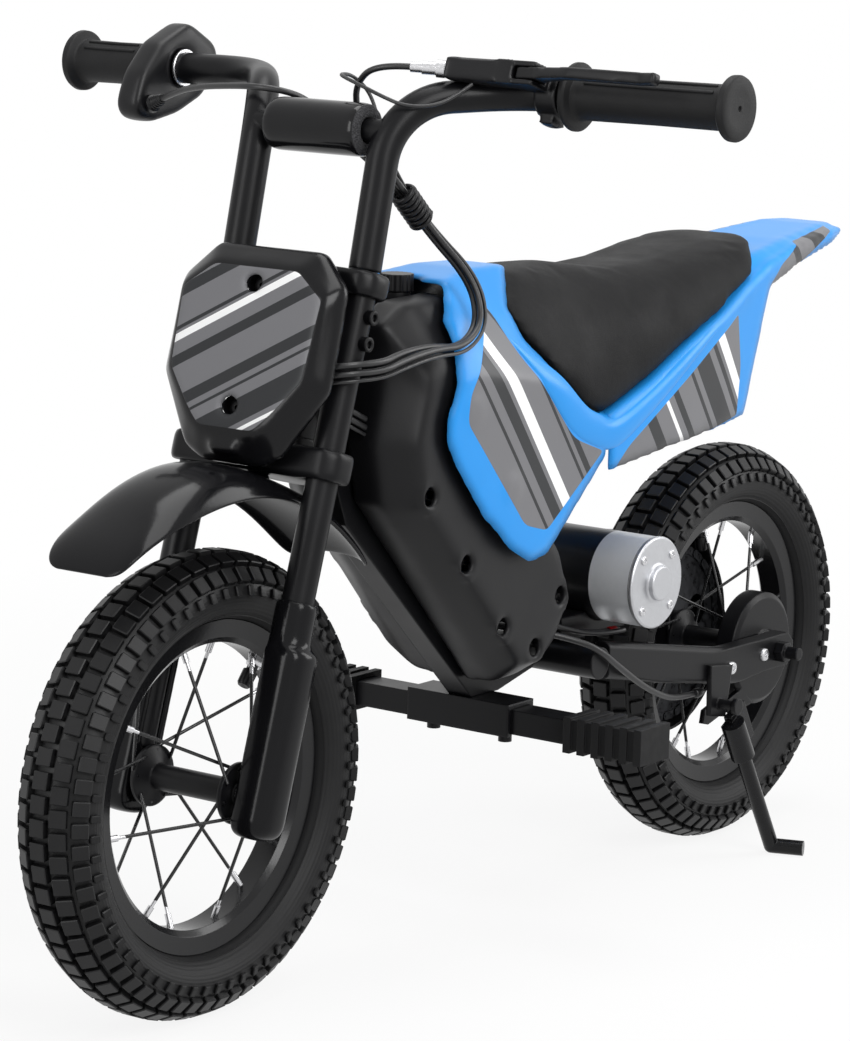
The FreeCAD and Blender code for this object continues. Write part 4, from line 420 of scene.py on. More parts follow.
def tube_mesh(name, points, radius, sides=14):
    """A closed tube along points, its rings carried along without twist."""
    form = bmesh.new()
    way = (points[1] - points[0]).normalized()
    out = way.orthogonal().normalized()
    rings = []
    for i, point in enumerate(points):
        ahead = points[min(i + 1, len(points) - 1)] - points[max(i - 1, 0)]
        turn = way.rotation_difference(ahead.normalized())
        out = turn @ out
        way = ahead.normalized()
        across = way.cross(out)
        ring = []
        for k in range(sides):
            angle = 2 * math.pi * k / sides
            ring.append(form.verts.new(point + (out * math.cos(angle) + across * math.sin(angle)) * radius))
        rings.append(ring)
    for a, b in zip(rings, rings[1:]):
        for k in range(sides):
            form.faces.new((a[k], a[(k + 1) % sides], b[(k + 1) % sides], b[k]))
    form.faces.new(list(reversed(rings[0])))
    form.faces.new(rings[-1])
    bmesh.ops.recalc_face_normals(form, faces=form.faces)
    return finished_mesh(form, name, 1.0)


def make_cord(name, route, diameter, look, node, body=None):
    """A cable on the smooth line of its route, shown in place of its CAD node."""
    points = spline_points(route)
    piece = link_piece(tube_mesh(name, points, diameter / 2), name, look, body)
    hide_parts(node)
    return piece


def even_copy(node, name, voxel, rounds, cuts=(), keep=(), rim=0.0, shared=6):
    """A CAD solid as an even mesh with the soft edges of a moulding, cut back by planes.

    The places to keep crisp are balls, each a centre and a radius, and a band beside the middle plane;
    they get only the shared rounds.
    """
    mesh = NODES[node].data.copy()
    form = bmesh.new()
    form.from_mesh(mesh)
    bmesh.ops.remove_doubles(form, verts=form.verts, dist=0.00002)
    for spot, way in cuts:
        everything = form.verts[:] + form.edges[:] + form.faces[:]
        bmesh.ops.bisect_plane(form, geom=everything, plane_co=spot, plane_no=way, clear_outer=True)
        open_edges = [edge for edge in form.edges if edge.is_boundary]
        bmesh.ops.holes_fill(form, edges=open_edges, sides=0)
    form.to_mesh(mesh)
    form.free()
    holder = bpy.data.objects.new(name, mesh)
    bpy.context.scene.collection.objects.link(holder)
    remesh = holder.modifiers.new("even", "REMESH")
    remesh.mode = "VOXEL"
    remesh.voxel_size = voxel
    remesh.use_smooth_shade = True
    graph = bpy.context.evaluated_depsgraph_get()
    even = bpy.data.meshes.new_from_object(holder.evaluated_get(graph))
    bpy.data.objects.remove(holder)
    bpy.data.meshes.remove(mesh)
    even.name = name
    even.materials.clear()
    form = bmesh.new()
    form.from_mesh(even)
    crisp = [(Vector(spot), radius) for spot, radius in keep]
    loose = [v for v in form.verts if abs(v.co.y) >= rim]
    loose = [v for v in loose if all((v.co - spot).length > radius for spot, radius in crisp)]
    for i in range(rounds):
        near = loose if i >= shared else form.verts
        bmesh.ops.smooth_vert(form, verts=near, factor=0.5, use_axis_x=True, use_axis_y=True, use_axis_z=True)
    form.to_mesh(even)
    form.free()
    return even


def moulded_copy(node, name, voxel, rounds, look, body, keep=(), rim=0.0, shared=6):
    """A CAD piece shown with soft edges."""
    paint_all(look, [node])
    piece = link_piece(even_copy(node, name, voxel, rounds, (), keep, rim, shared), name, look, body)
    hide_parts(node)
    return piece


def padded_copy(node, name, voxel, rounds, inset, cuts=()):
    """A soft piece's even mesh, drawn in a little so that stuffing can swell it."""
    mesh = even_copy(node, name, voxel, rounds, cuts)
    for vertex, normal in [(v, v.normal.copy()) for v in mesh.vertices]:
        vertex.co -= normal * inset
    mesh.update()
    piece = bpy.data.objects.new(name, mesh)
    bpy.context.scene.collection.objects.link(piece)
    return piece


def stuff(piece, held, pressure, frames, cap):
    """Swells a padded piece as cloth under pressure and keeps the result in its mesh."""
    mesh = piece.data
    start = [vertex.co.copy() for vertex in mesh.vertices]
    group = piece.vertex_groups.new(name="held")
    group.add(held, 1.0, "REPLACE")
    cloth = piece.modifiers.new("stuffing", "CLOTH")
    settings = cloth.settings
    settings.vertex_group_mass = "held"
    settings.use_pressure = True
    settings.uniform_pressure_force = pressure
    settings.effector_weights.gravity = 0
    scene = bpy.context.scene
    for step in range(1, frames + 1):
        scene.frame_set(step)
    graph = bpy.context.evaluated_depsgraph_get()
    swollen = bpy.data.meshes.new_from_object(piece.evaluated_get(graph))
    ends = [vertex.co.copy() for vertex in swollen.vertices]
    piece.modifiers.remove(cloth)
    piece.vertex_groups.clear()
    bpy.data.meshes.remove(swollen)
    scene.frame_set(1)
    if len(ends) != len(start):
        raise RuntimeError(f"{piece.name}: stuffing changed the mesh")
    for vertex, a, b in zip(mesh.vertices, start, ends):
        move = b - a
        if move.length > cap:
            move *= cap / move.length
        vertex.co = a + move
    mesh.update()


def subdivide(piece, levels=1):
    modifier = piece.modifiers.new("smooth", "SUBSURF")
    modifier.levels = levels
    modifier.render_levels = levels


class MOTORBIKE_OT_stage(bpy.types.Operator):
    """Camera, lights and a pale floor"""

    bl_idname = "motorbike.stage"
    bl_label = "Stage"

    def execute(self, context):
        self.camera()
        self.lights()
        self.floor()
        context.scene.view_settings.view_transform = "Standard"
        context.scene.view_settings.look = "None"
        return {"FINISHED"}

    def camera(self):
        """The photograph's view, solved from the wheels and the fork."""
        yaw, pitch, roll = (math.radians(a) for a in (-144.24, -10.05, 1.66))
        ahead = Vector((math.cos(pitch) * math.cos(yaw), math.cos(pitch) * math.sin(yaw), math.sin(pitch)))
        right = ahead.cross(Vector((0, 0, 1))).normalized()
        up = right.cross(ahead)
        across = right * math.cos(roll) + up * math.sin(roll)
        above = up * math.cos(roll) - right * math.sin(roll)
        data = bpy.data.cameras.new("camera")
        data.sensor_fit = "HORIZONTAL"
        data.sensor_width = 36
        data.lens = 3830 / 850 * 36
        data.clip_end = 50
        data.dof.use_dof = False
        camera = bpy.data.objects.new("camera", data)
        place = Matrix((across, above, -ahead)).transposed().to_4x4()
        place.translation = Vector((2.25, 1.57, 0.781))
        camera.matrix_world = place
        bpy.context.scene.collection.objects.link(camera)
        bpy.context.scene.camera = camera

    def lights(self):
        spots = [
            ("key", (1.1, 2.3, 2.0), (1.2, 1.8), 58),
            ("fill", (2.7, -0.6, 1.3), (0.8, 2.0), 26),
            ("top", (-0.2, 0.1, 2.5), (2.0, 1.2), 34),
            ("rear", (-1.9, 1.5, 1.3), (0.9, 1.8), 26),
        ]
        for name, spot, size, power in spots:
            data = bpy.data.lights.new(name, "AREA")
            data.shape = "RECTANGLE"
            data.size, data.size_y = size
            data.energy = power
            light = bpy.data.objects.new(name, data)
            light.location = spot
            aim = Vector((0, 0, 0.32)) - Vector(spot)
            light.rotation_euler = aim.to_track_quat("-Z", "Y").to_euler()
            bpy.context.scene.collection.objects.link(light)
        world = bpy.data.worlds.new("studio")
        bpy.context.scene.world = world
        world.use_nodes = True
        sky = Nodes(world.node_tree)
        strength = sky.add("MapRange", (sky.background_rays(), 0, 1, 0.13, 1.0))
        ground = sky.add("Background", ((1, 1, 1), strength))
        sky.add("OutputWorld", (ground,), out=None)

    def floor(self):
        """A pale floor that the camera sees as white, with a faint shadow."""
        look = Look("studio_floor")
        look.set(base_color=(0.82, 0.82, 0.82), roughness=0.9, specular_ior_level=0.1)
        white = look.add("Emission", ((1, 1, 1), 1.0))
        flat = look.add("VectorMath", (look.place, (1, 1, 0)), operation="MULTIPLY")
        away = look.add("VectorMath", (flat,), out="Value", operation="LENGTH")
        share = look.add("MapRange", (away, 0.5, 1.4, 0.88, 1.0))
        seen = look.add("Math", (look.background_rays(), share), operation="MULTIPLY")
        both = look.add("MixShader", (seen, look.shader.outputs[0], white))
        look.feed(look.output.inputs["Surface"], both)
        form = bmesh.new()
        bmesh.ops.create_grid(form, x_segments=4, y_segments=4, size=9)
        mesh = bpy.data.meshes.new("studio_floor")
        form.to_mesh(mesh)
        form.free()
        mesh.materials.append(look.material)
        floor = bpy.data.objects.new("studio_floor", mesh)
        bpy.context.scene.collection.objects.link(floor)


class MOTORBIKE_OT_cords(bpy.types.Operator):
    """Control cables, motor leads and the rear brake cable on smooth lines"""

    bl_idname = "motorbike.cords"
    bl_label = "Cables"

    def execute(self, context):
        sizes, colours = settings(context)
        # Extruded cable sheath: semi-gloss black with faint die lines.
        look = grained_look(
            "cable_sheath_pvc", colours.plastic[:],
            (0.02, 2, 0.2), (0.0012, 2, 0.34, 0.46), (0.0012, 2, 0.00008, 0.5),
        )
        # The loop beside the fairing and the end in the housing stay with the chassis.
        crossing = [
            ("brake_hose", BRAKE_ROUTE, sizes.cable_diameter, "brake_cable"),
            ("throttle_lead", THROTTLE_ROUTE, sizes.cable_diameter, "throttle_wire"),
            ("switch_lead", SWITCH_ROUTE, sizes.switch_diameter, "switch_wire"),
        ]
        for name, route, diameter, node in crossing:
            piece = make_cord(name, route, diameter, look, node)
            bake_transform(piece)
        make_cord("rear_brake_hose", REAR_ROUTE, sizes.rear_diameter, look, "rear_brake_cable", "chassis")
        for i, shift in enumerate((0.0, 0.005)):
            route = [(x, y + shift, z) for x, y, z in LEAD_ROUTE]
            make_cord(f"motor_lead_{i + 1}", route, sizes.lead_diameter, look, "motor_leads", "chassis")
        run = (Vector(REAR_ROUTE[-1]) - Vector(REAR_ROUTE[-2])).normalized()
        outline = [(0, 0), (0, 0.0034), (0.001, 0.004), (0.009, 0.004), (0.010, 0.0034)]
        outline += [(0.016, 0.0028), (0.016, 0)]
        spot = REAR_ROUTE[-1]
        ferrule = turned_piece("cable_ferrule", outline, spot, run, look, "chassis", 24)
        subdivide(ferrule)
        return {"FINISHED"}


class MOTORBIKE_OT_soft(bpy.types.Operator):
    """Stuffed seat and crossbar pad"""

    bl_idname = "motorbike.soft"
    bl_label = "Seat and pad"

    def execute(self, context):
        sizes, colours = settings(context)
        self.seat(sizes, colours)
        self.pad(sizes, colours)
        return {"FINISHED"}

    def seat(self, sizes, colours):
        # The cover's rear end is round in plan.
        cuts = [
            ((-0.315, 0, 0), (-1, 0, 0)),
            ((-0.291, 0.044, 0), (-0.62, 0.78, 0)),
            ((-0.291, -0.044, 0), (-0.62, -0.78, 0)),
        ]
        piece = padded_copy("seat_pad", "seat_cover", sizes.voxel, 7, 0.0008, cuts)
        held = []
        for vertex in piece.data.vertices:
            inward = vertex.normal.y * math.copysign(1, vertex.co.y) < -0.35
            if vertex.normal.z < -0.35 or inward:
                held.append(vertex.index)
        stuff(piece, held, sizes.pressure, sizes.frames, sizes.seat_swell)
        piece.data.materials.append(self.vinyl(sizes, colours).material)
        shade_smooth(piece.data, 1.2)
        subdivide(piece)
        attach(piece, "chassis")
        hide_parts("seat_pad")

    def vinyl(self, sizes, colours):
        """Grained vinyl: small leathery cells, a soft sheen and a gloss that varies in broad patches."""
        look = Look("seat_vinyl_cover")
        warp = look.add("TexNoise", {"Scale": 1 / 0.006, "Detail": 2})
        grain = look.add("TexVoronoi", {"Scale": 1 / sizes.grain}, feature="DISTANCE_TO_EDGE")
        creases = look.add("MapRange", (grain, 0.0, 0.22, 0, 1))
        broad = look.add("TexNoise", {"Scale": 1 / 0.03, "Detail": 3})
        look.set(base_color=look.shade(colours.vinyl[:], broad, 0.16), specular_ior_level=0.11)
        look.set(roughness=look.add("MapRange", (broad, 0.3, 0.7, 0.46, 0.58)))
        soft = look.add("Bump", {"Height": warp, "Distance": 0.0005, "Strength": 0.35})
        relief = {"Height": creases, "Distance": 0.00012, "Strength": 0.6, "Normal": soft}
        look.set(normal=look.add("Bump", relief))
        return look

    def pad(self, sizes, colours):
        piece = padded_copy("crossbar_pad", "crossbar_cushion", 0.0028, 3, 0.0006)
        low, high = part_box("crossbar_pad")
        centre = (low + high) / 2
        held = []
        for vertex in piece.data.vertices:
            away = vertex.co - centre
            away.y = 0
            if away.length < 0.0108:
                held.append(vertex.index)
        stuff(piece, held, sizes.pressure, sizes.frames, sizes.pad_swell)
        piece.data.materials.append(self.cover(colours, centre, (high - low).y / 2).material)
        shade_smooth(piece.data, 1.2)
        subdivide(piece)
        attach(piece, "fork")
        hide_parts("crossbar_pad")

    def cover(self, colours, centre, half):
        """Shiny tube cover over foam: smooth gloss round the side, open cells on the ends, darker in their
        pits as painted shade.
        """
        look = Look("pad_cover_and_foam")
        aside = look.add("Math", (look.y, centre.y), operation="SUBTRACT")
        away = look.add("Math", (aside,), operation="ABSOLUTE")
        ends = look.add("MapRange", (away, half - 0.0036, half - 0.0031, 0, 1))
        pores_and_pit_shade = look.add("TexVoronoi", {"Scale": 1 / 0.0011}, feature="F1")
        waves = look.add("TexNoise", {"Scale": 1 / 0.02, "Detail": 2})
        # The foam is made darker in the pits of its cells: painted shade.
        foam = look.shade(colours.foam[:], pores_and_pit_shade, 0.6)
        film = look.shade(colours.plastic[:], waves, 0.12)
        look.set(base_color=look.add("Mix", {0: ends, 6: film, 7: foam}, **COLOUR_MIX))
        look.set(specular_ior_level=0.2)
        look.set(roughness=look.add("MapRange", (ends, 0, 1, 0.16, 0.95)))
        look.set(coat_weight=look.add("MapRange", (ends, 0, 1, 0.1, 0)))
        smooth = look.add("Bump", {"Height": waves, "Distance": 0.0008, "Strength": 0.25})
        pits = look.add("Math", (pores_and_pit_shade, ends), operation="MULTIPLY")
        relief = {"Height": pits, "Distance": 0.0008, "Strength": 1.0, "Normal": smooth}
        look.set(normal=look.add("Bump", relief))
        return look


class MOTORBIKE_OT_bodywork(bpy.types.Operator):
    """Blue fairings, number plate, housing, fender and covers"""

    bl_idname = "motorbike.bodywork"
    bl_label = "Bodywork"

    def execute(self, context):
        sizes, colours = settings(context)
        black = colours.plastic[:]
        self.fairing(colours)
        self.tail(colours)
        self.plate(colours)
        gloss = plastic_look("gloss_black_abs", black, 0.16, 0.002, 0.004, 0.00006, 0.06, 0.13)
        self.fender(gloss)
        for hand in ("left", "right"):
            moulded_copy(f"fork_cover_{hand}", f"leg_cover_{hand}", 0.0015, 36, gloss, "fork")
        satin = plastic_look("satin_black_housing", black, 0.42, 0.002, sizes.texture, 0.00009)
        paint_all(satin, ["controller", "charge_socket", "chain_guard"])
        for hand, way in (("left", 1), ("right", -1)):
            outer = max(abs(corner.y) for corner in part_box(f"housing_{hand}"))
            wells = [((x, outer * way, z), 0.013) for x, z in HOUSING_SCREWS]
            moulded_copy(
                f"housing_{hand}", f"shell_{hand}", 0.0018, 40, satin, "chassis", wells, 0.020
            )
        ribbed = plastic_look("satin_black_fittings", black, 0.36, 0.0016, sizes.texture, 0.00006)
        paint_all(ribbed, ["charge_cap", "housing_screws", "cable_wrap"])
        self.lever(ribbed)
        moulded_copy("throttle_housing", "throttle_shell", 0.0014, 50, ribbed, "fork")
        sleeve = plastic_look("battery_sleeve", hex_colour("1F4B86"), 0.3, sizes.edge, 0.002, 0.00008)
        paint_all(sleeve, ["battery_pack"])
        return {"FINISHED"}

    def lever(self, look):
        """The brake lever and its mount, soft in their edges but crisp at the pin and the bar."""
        pin, clamp = fork_spot(-0.030, 0.133, 0.502), fork_spot(-0.058, 0.1385, 0.496)
        crisp = [(pin, 0.0235), (clamp, 0.022)]
        moulded_copy("lever_perch", "lever_mount", 0.0010, 40, look, "fork", crisp, shared=0)
        crisp = [(pin, 0.016)]
        blade = moulded_copy(
            "brake_lever", "lever_blade", 0.0010, 16, look, "brake_lever", crisp, shared=0
        )
        # The lever's hole runs clear of its pin.
        for vertex in blade.data.vertices:
            away = vertex.co - pin
            away -= FORK_UP * away.dot(FORK_UP)
            if away.length < 0.0045:
                vertex.co += away.normalized() * 0.0006

    def fender(self, look):
        """Beaked front mudguard, flat at its tip and arched over the wheel, on a short stalk."""
        # Angle round the wheel, ridge and edge radius and half width, in degrees and millimetres.
        stations = [
            (53.4, 199.5, 198.5, 20), (54.0, 200.5, 199, 28), (56.0, 203, 201, 33.5), (60.0, 206, 202, 37),
            (66.5, 209, 200, 39), (73.0, 214, 198, 40), (80.0, 218, 197, 40), (88.0, 220, 197.5, 40),
            (97.0, 215, 198, 40), (106.0, 209, 197, 40), (117.0, 207, 196, 40), (128.0, 205, 193, 39),
            (135.0, 204, 193, 37), (137.0, 203, 195, 33),
        ]
        # Share of the half width and of the drop from ridge to edge.
        section = [(1, 1), (0.97, 0.86), (0.88, 0.56), (0.74, 0.28), (0.5, 0.1), (0.25, 0.02)]
        section = section + [(0, 0)] + [(-share, drop) for share, drop in reversed(section)]
        form = bmesh.new()
        rows = []
        for angle, ridge, edge, half in stations:
            out = Vector((math.cos(math.radians(angle)), 0, math.sin(math.radians(angle))))
            spots = [out * (ridge - (ridge - edge) * drop) + SIDE * half * share for share, drop in section]
            rows.append([form.verts.new(FORK_ORIGIN + spot / 1000) for spot in spots])
        bridge_rows(form, rows)
        bmesh.ops.solidify(form, geom=form.faces[:], thickness=0.0028)
        stalk = Matrix((SIDE.cross(FORK_UP), SIDE, FORK_UP)).transposed().to_4x4()
        stalk.translation = FORK_ORIGIN + FORK_UP * 0.208
        bmesh.ops.create_cone(
            form, cap_ends=True, segments=24, radius1=0.009, radius2=0.009, depth=0.014, matrix=stalk
        )
        bmesh.ops.recalc_face_normals(form, faces=form.faces)
        paint_all(look, ["front_fender"])
        mesh = finished_mesh(form, "beaked_fender", 1.0)
        piece = link_piece(mesh, "beaked_fender", look, "fork")
        subdivide(piece, 2)
        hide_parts("front_fender")

    def blue(self, look, colours, decal, mask):
        """Glossy blue moulding with a printed film inlay that is flatter in its shine."""
        flow = look.add("TexNoise", {"Scale": 1 / 0.06, "Detail": 3})
        blue = look.shade(colours.blue[:], flow, 0.06)
        look.set(base_color=look.add("Mix", {0: mask, 6: blue, 7: decal}, **COLOUR_MIX))
        look.set(roughness=look.add("MapRange", (mask, 0, 1, 0.3, 0.36)))
        look.set(coat_weight=0.05, coat_roughness=0.1, specular_ior_level=0.25)
        edge = look.add("Bevel", (0.010,), samples=10)
        rim = look.add("Bump", {"Height": mask, "Distance": 0.00025, "Strength": 0.8, "Normal": edge})
        fine = look.add("TexNoise", {"Scale": 1 / 0.0012, "Detail": 3})
        relief = {"Height": fine, "Distance": 0.00005, "Strength": 0.5, "Normal": rim}
        look.set(normal=look.add("Bump", relief))

    def fairing(self, colours):
        look = Look("blue_fairing_with_stripes")
        x, z = look.x, look.z
        outer = [
            (-0.052, 0.350), (0.018, 0.300), (0.046, 0.307), (0.117, 0.387), (0.115, 0.407), (0.071, 0.468),
        ]
        depth = look.panel(x, z, outer, closed=False)
        front = look.edge_side(x, z, (0.071, 0.468), (0.050, 0.428))
        shallow = look.edge_side(x, z, (-0.013, 0.363), (-0.052, 0.350))
        steep = look.edge_side(x, z, (0.050, 0.428), (-0.013, 0.363))
        seat_side = look.add("Math", (shallow, steep, 0.008), operation="SMOOTH_MAX")
        seat_side = look.add("Math", (seat_side, front, 0.008), operation="SMOOTH_MAX")
        depth = look.add("Math", (depth, seat_side, 0.006), operation="SMOOTH_MIN")
        mask = look.add("MapRange", (depth, 0.0, 0.0004, 0, 1))
        whites = [(-0.200, -0.190), (-0.285, -0.276)]
        darks = [(-0.186, -0.176), (-0.232, -0.226), (-0.222, -0.219), (-0.168, -0.165), (-0.262, -0.252)]
        decal = look.stripes(look.along(STRIPE_WAY), colours, whites, darks)
        self.blue(look, colours, decal, mask)
        moulded_copy("front_fairing", "front_moulding", 0.0017, 26, look, "chassis")

    def tail(self, colours):
        look = Look("blue_tail_with_stripes")
        flank = [
            (-0.246, 0.355), (-0.130, 0.3365), (-0.069, 0.3355),
            (-0.084, 0.349), (-0.242, 0.4335), (-0.250, 0.392),
        ]
        fin = [(-0.429, 0.4875), (-0.330, 0.455), (-0.296, 0.449), (-0.318, 0.4655), (-0.354, 0.4795)]
        masks = []
        for corners, soft in ((flank, 0.004), (fin, 0.002)):
            depth = look.panel(look.x, look.z, corners, soft)
            masks.append(look.add("MapRange", (depth, 0.0, 0.0004, 0, 1)))
        mask = look.add("Math", masks, operation="MAXIMUM")
        whites = [(-0.428, -0.418), (-0.338, -0.334)]
        darks = [
            (-0.414, -0.409), (-0.402, -0.382), (-0.376, -0.372), (-0.352, -0.345), (-0.318, -0.306),
            (-0.610, -0.590), (-0.566, -0.556),
        ]
        decal = look.stripes(look.along(STRIPE_WAY), colours, whites, darks)
        self.blue(look, colours, decal, mask)
        piece = moulded_copy("tail_fairing", "tail_moulding", 0.0017, 22, look, "chassis")
        # The fin's point is drawn in.
        for vertex in piece.data.vertices:
            behind = min(0, vertex.co.x + 0.33)
            vertex.co.x -= behind * 0.19

    def plate(self, colours):
        """Gloss black plate with a grey film on its flat face."""
        look = Look("plate_gloss_with_film")
        ahead = look.along(FORK_AHEAD, -FORK_ORIGIN.dot(FORK_AHEAD))
        up = look.along(FORK_UP, -FORK_ORIGIN.dot(FORK_UP) - PLATE_RISE)
        right = [(0.0350, 0.0525), (0.0582, 0.0352), (0.0553, -0.0195), (0.0315, -0.0490), (0.0225, -0.0565)]
        outline = [(-y, z) for y, z in right] + list(reversed(right))
        inside = look.add("MapRange", (look.panel(look.y, up, outline, 0.004), 0.0, 0.0004, 0, 1))
        face = look.add("MapRange", (ahead, 0.0425, 0.0429, 0, 1))
        mask = look.add("Math", (inside, face), operation="MULTIPLY")
        lean = look.add("Math", (look.y, -0.5), operation="MULTIPLY")
        run = look.add("Math", (up, 0.86, lean), operation="MULTIPLY_ADD")
        whites = [(0.024, 0.029), (-0.056, -0.0535)]
        darks = [
            (0.031, 0.0335), (0.008, 0.015), (-0.020, -0.012),
            (-0.026, -0.024), (-0.050, -0.034), (0.052, 0.060),
        ]
        film = look.stripes(run, colours, whites, darks)
        flow = look.add("TexNoise", {"Scale": 1 / 0.05, "Detail": 2})
        black = look.shade(colours.plastic[:], flow, 0.1)
        look.set(base_color=look.add("Mix", {0: mask, 6: black, 7: film}, **COLOUR_MIX))
        look.set(roughness=look.add("MapRange", (mask, 0, 1, 0.16, 0.34)))
        look.set(coat_weight=0.06, coat_roughness=0.06, specular_ior_level=0.17)
        edge = look.add("Bevel", (0.006,), samples=10)
        rim = look.add("Bump", {"Height": mask, "Distance": 0.0002, "Strength": 0.8, "Normal": edge})
        fine = look.add("TexNoise", {"Scale": 1 / 0.003, "Detail": 2})
        relief = {"Height": fine, "Distance": 0.00004, "Strength": 0.4, "Normal": rim}
        look.set(normal=look.add("Bump", relief))
        holes = [(spot, 0.0095) for spot in plate_holes()]
        moulded_copy("number_plate", "plate_moulding", 0.0015, 24, look, "fork", holes)


class MOTORBIKE_OT_metalwork(bpy.types.Operator):
    """Frame, fork, bars, stand, drive and motor"""

    bl_idname = "motorbike.metalwork"
    bl_label = "Metalwork"

    def execute(self, context):
        colours = settings(context)[1]
        # Black powder coat on steel: satin, with a fine orange peel.
        coat = grained_look(
            "black_powder_coat", colours.metal[:],
            (0.04, 2, 0.15), (0.04, 2, 0.3, 0.38), (0.0016, 2, 0.00006, 0.5), 0.0022, specular_ior_level=0.17,
        )
        paint_all(coat, [
            "main_frame", "rear_stays", "motor_mount", "peg_bar", "peg_clamp", "fork_tubes", "handlebar",
            "headset_cups", "kickstand_bracket", "clamp_bolts", "brake_cover", "brake_arm", "front_hub",
            "rear_hub", "rear_axle",
        ])
        moulded_copy("upper_clamp", "upper_yoke", 0.0015, 26, coat, "fork")
        moulded_copy("lower_clamp", "lower_yoke", 0.0015, 26, coat, "fork")
        steel = bright_steel(colours)
        paint_all(steel, ["front_axle", "barrel_adjuster", "motor_pinion"])
        paint_all(self.chain(), ["drive_chain", "rear_sprocket"])
        paint_all(self.drum(), ["brake_drum"])
        # Side stand: glossy black enamel with scuffs that dull its shine.
        enamel = grained_look(
            "stand_black_enamel", colours.metal[:],
            (0.003, 4, 0.2), (0.003, 4, 0.16, 0.3), (0.003, 4, 0.00005, 0.5), 0.0008, specular_ior_level=0.22,
        )
        paint_all(enamel, ["kickstand_leg"])
        # Die-cast aluminium: bright and slightly rough, with a sandy skin.
        cast = grained_look(
            "cast_aluminium", colours.aluminium[:],
            (0.0014, 4, 0.1), (0.0014, 4, 0.34, 0.5), (0.0014, 4, 0.00012, 0.6), 0.0012, metallic=1.0,
        )
        self.motor_body(self.motor(colours), cast)
        self.fittings(steel)
        return {"FINISHED"}

    def chain(self):
        """Oiled chain: dark steel plates with oil in the gaps."""
        look = Look("oiled_chain_steel")
        oil = look.add("TexNoise", {"Scale": 1 / 0.006, "Detail": 3})
        dark, pale = hex_colour("242426"), hex_colour("48494C")
        look.set(base_color=look.add("Mix", {0: oil, 6: dark, 7: pale}, **COLOUR_MIX), metallic=1.0)
        look.set(roughness=look.add("MapRange", (oil, 0.3, 0.7, 0.24, 0.5)))
        return look

    def drum(self):
        """Brake drum steel, turned, with rings left by the tool."""
        look = Look("turned_drum_steel")
        turns = look.add("Math", (look.axle_distance(), 6000), operation="MULTIPLY")
        rings = look.add("Math", (turns,), operation="SINE")
        haze = look.add("TexNoise", {"Scale": 1 / 0.01, "Detail": 2})
        look.set(base_color=look.shade(hex_colour("4A4A4D"), haze, 0.2), metallic=1.0, roughness=0.42)
        edge = look.add("Bevel", (0.0005,), samples=6)
        relief = {"Height": rings, "Distance": 0.00003, "Strength": 0.6, "Normal": edge}
        look.set(normal=look.add("Bump", relief))
        return look

    def motor_body(self, can, cast):
        """The motor's can, with its label up against a thin aluminium end."""
        paint_all(can, ["motor_can"])
        paint_all(cast, ["motor_cap"])
        low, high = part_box("motor_can")
        radius = (high.z - low.z) / 2
        start = Vector(((low.x + high.x) / 2, low.y, (low.z + high.z) / 2))
        length = high.y - low.y
        reach = length + 0.0095
        barrel = [(0.030, 0), (0.030, 0.0046), (0, 0.0046), (0, radius - 0.001), (0.001, radius)]
        barrel += [(reach, radius), (reach, 0)]
        piece = turned_piece("motor_barrel", barrel, start, SIDE, can, "chassis", 96)
        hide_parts("motor_can")
        face = length + 0.0130
        end = [(reach, 0), (reach, radius + 0.0005), (face - 0.0010, radius + 0.0005)]
        end += [(face, radius - 0.0006), (face, radius - 0.0016), (face, 0.0155), (face, 0.0145)]
        end += [(face + 0.0008, 0.0131), (face + 0.0042, 0.0130), (face + 0.0050, 0.0122), (face + 0.0050, 0)]
        piece = turned_piece("motor_end", end, start, SIDE, cast, "chassis", 96)
        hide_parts("motor_cap")

    def motor(self, colours):
        """Black motor can with a bare pale label round its outer half."""
        look = Look("motor_can_with_bare_label")
        low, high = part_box("motor_can")
        centre = (low + high) / 2
        near = look.add("MapRange", (look.y, high.y - 0.026, high.y - 0.0256, 0, 1))
        far = look.add("MapRange", (look.y, high.y + 0.0086, high.y + 0.0090, 1, 0))
        ahead = look.along((0.80, 0, 0.60), -(centre.x * 0.80 + centre.z * 0.60))
        front = look.add("MapRange", (ahead, -0.012, -0.0116, 0, 1))
        band = look.add("Math", (near, far), operation="MULTIPLY")
        label = look.add("Math", (band, front), operation="MULTIPLY")
        haze = look.add("TexNoise", {"Scale": 1 / 0.004, "Detail": 3})
        can = look.shade(colours.metal[:], haze, 0.2)
        paper = look.shade(colours.label[:], haze, 0.04)
        look.set(base_color=look.add("Mix", {0: label, 6: can, 7: paper}, **COLOUR_MIX))
        look.set(roughness=look.add("MapRange", (label, 0, 1, 0.3, 0.36)))
        look.set(metallic=look.add("Math", (label, 0.35), operation="MULTIPLY"))
        edge = look.add("Bevel", (0.001,), samples=6)
        relief = {"Height": label, "Distance": 0.0001, "Strength": 0.7, "Normal": edge}
        look.set(normal=look.add("Bump", relief))
        return look

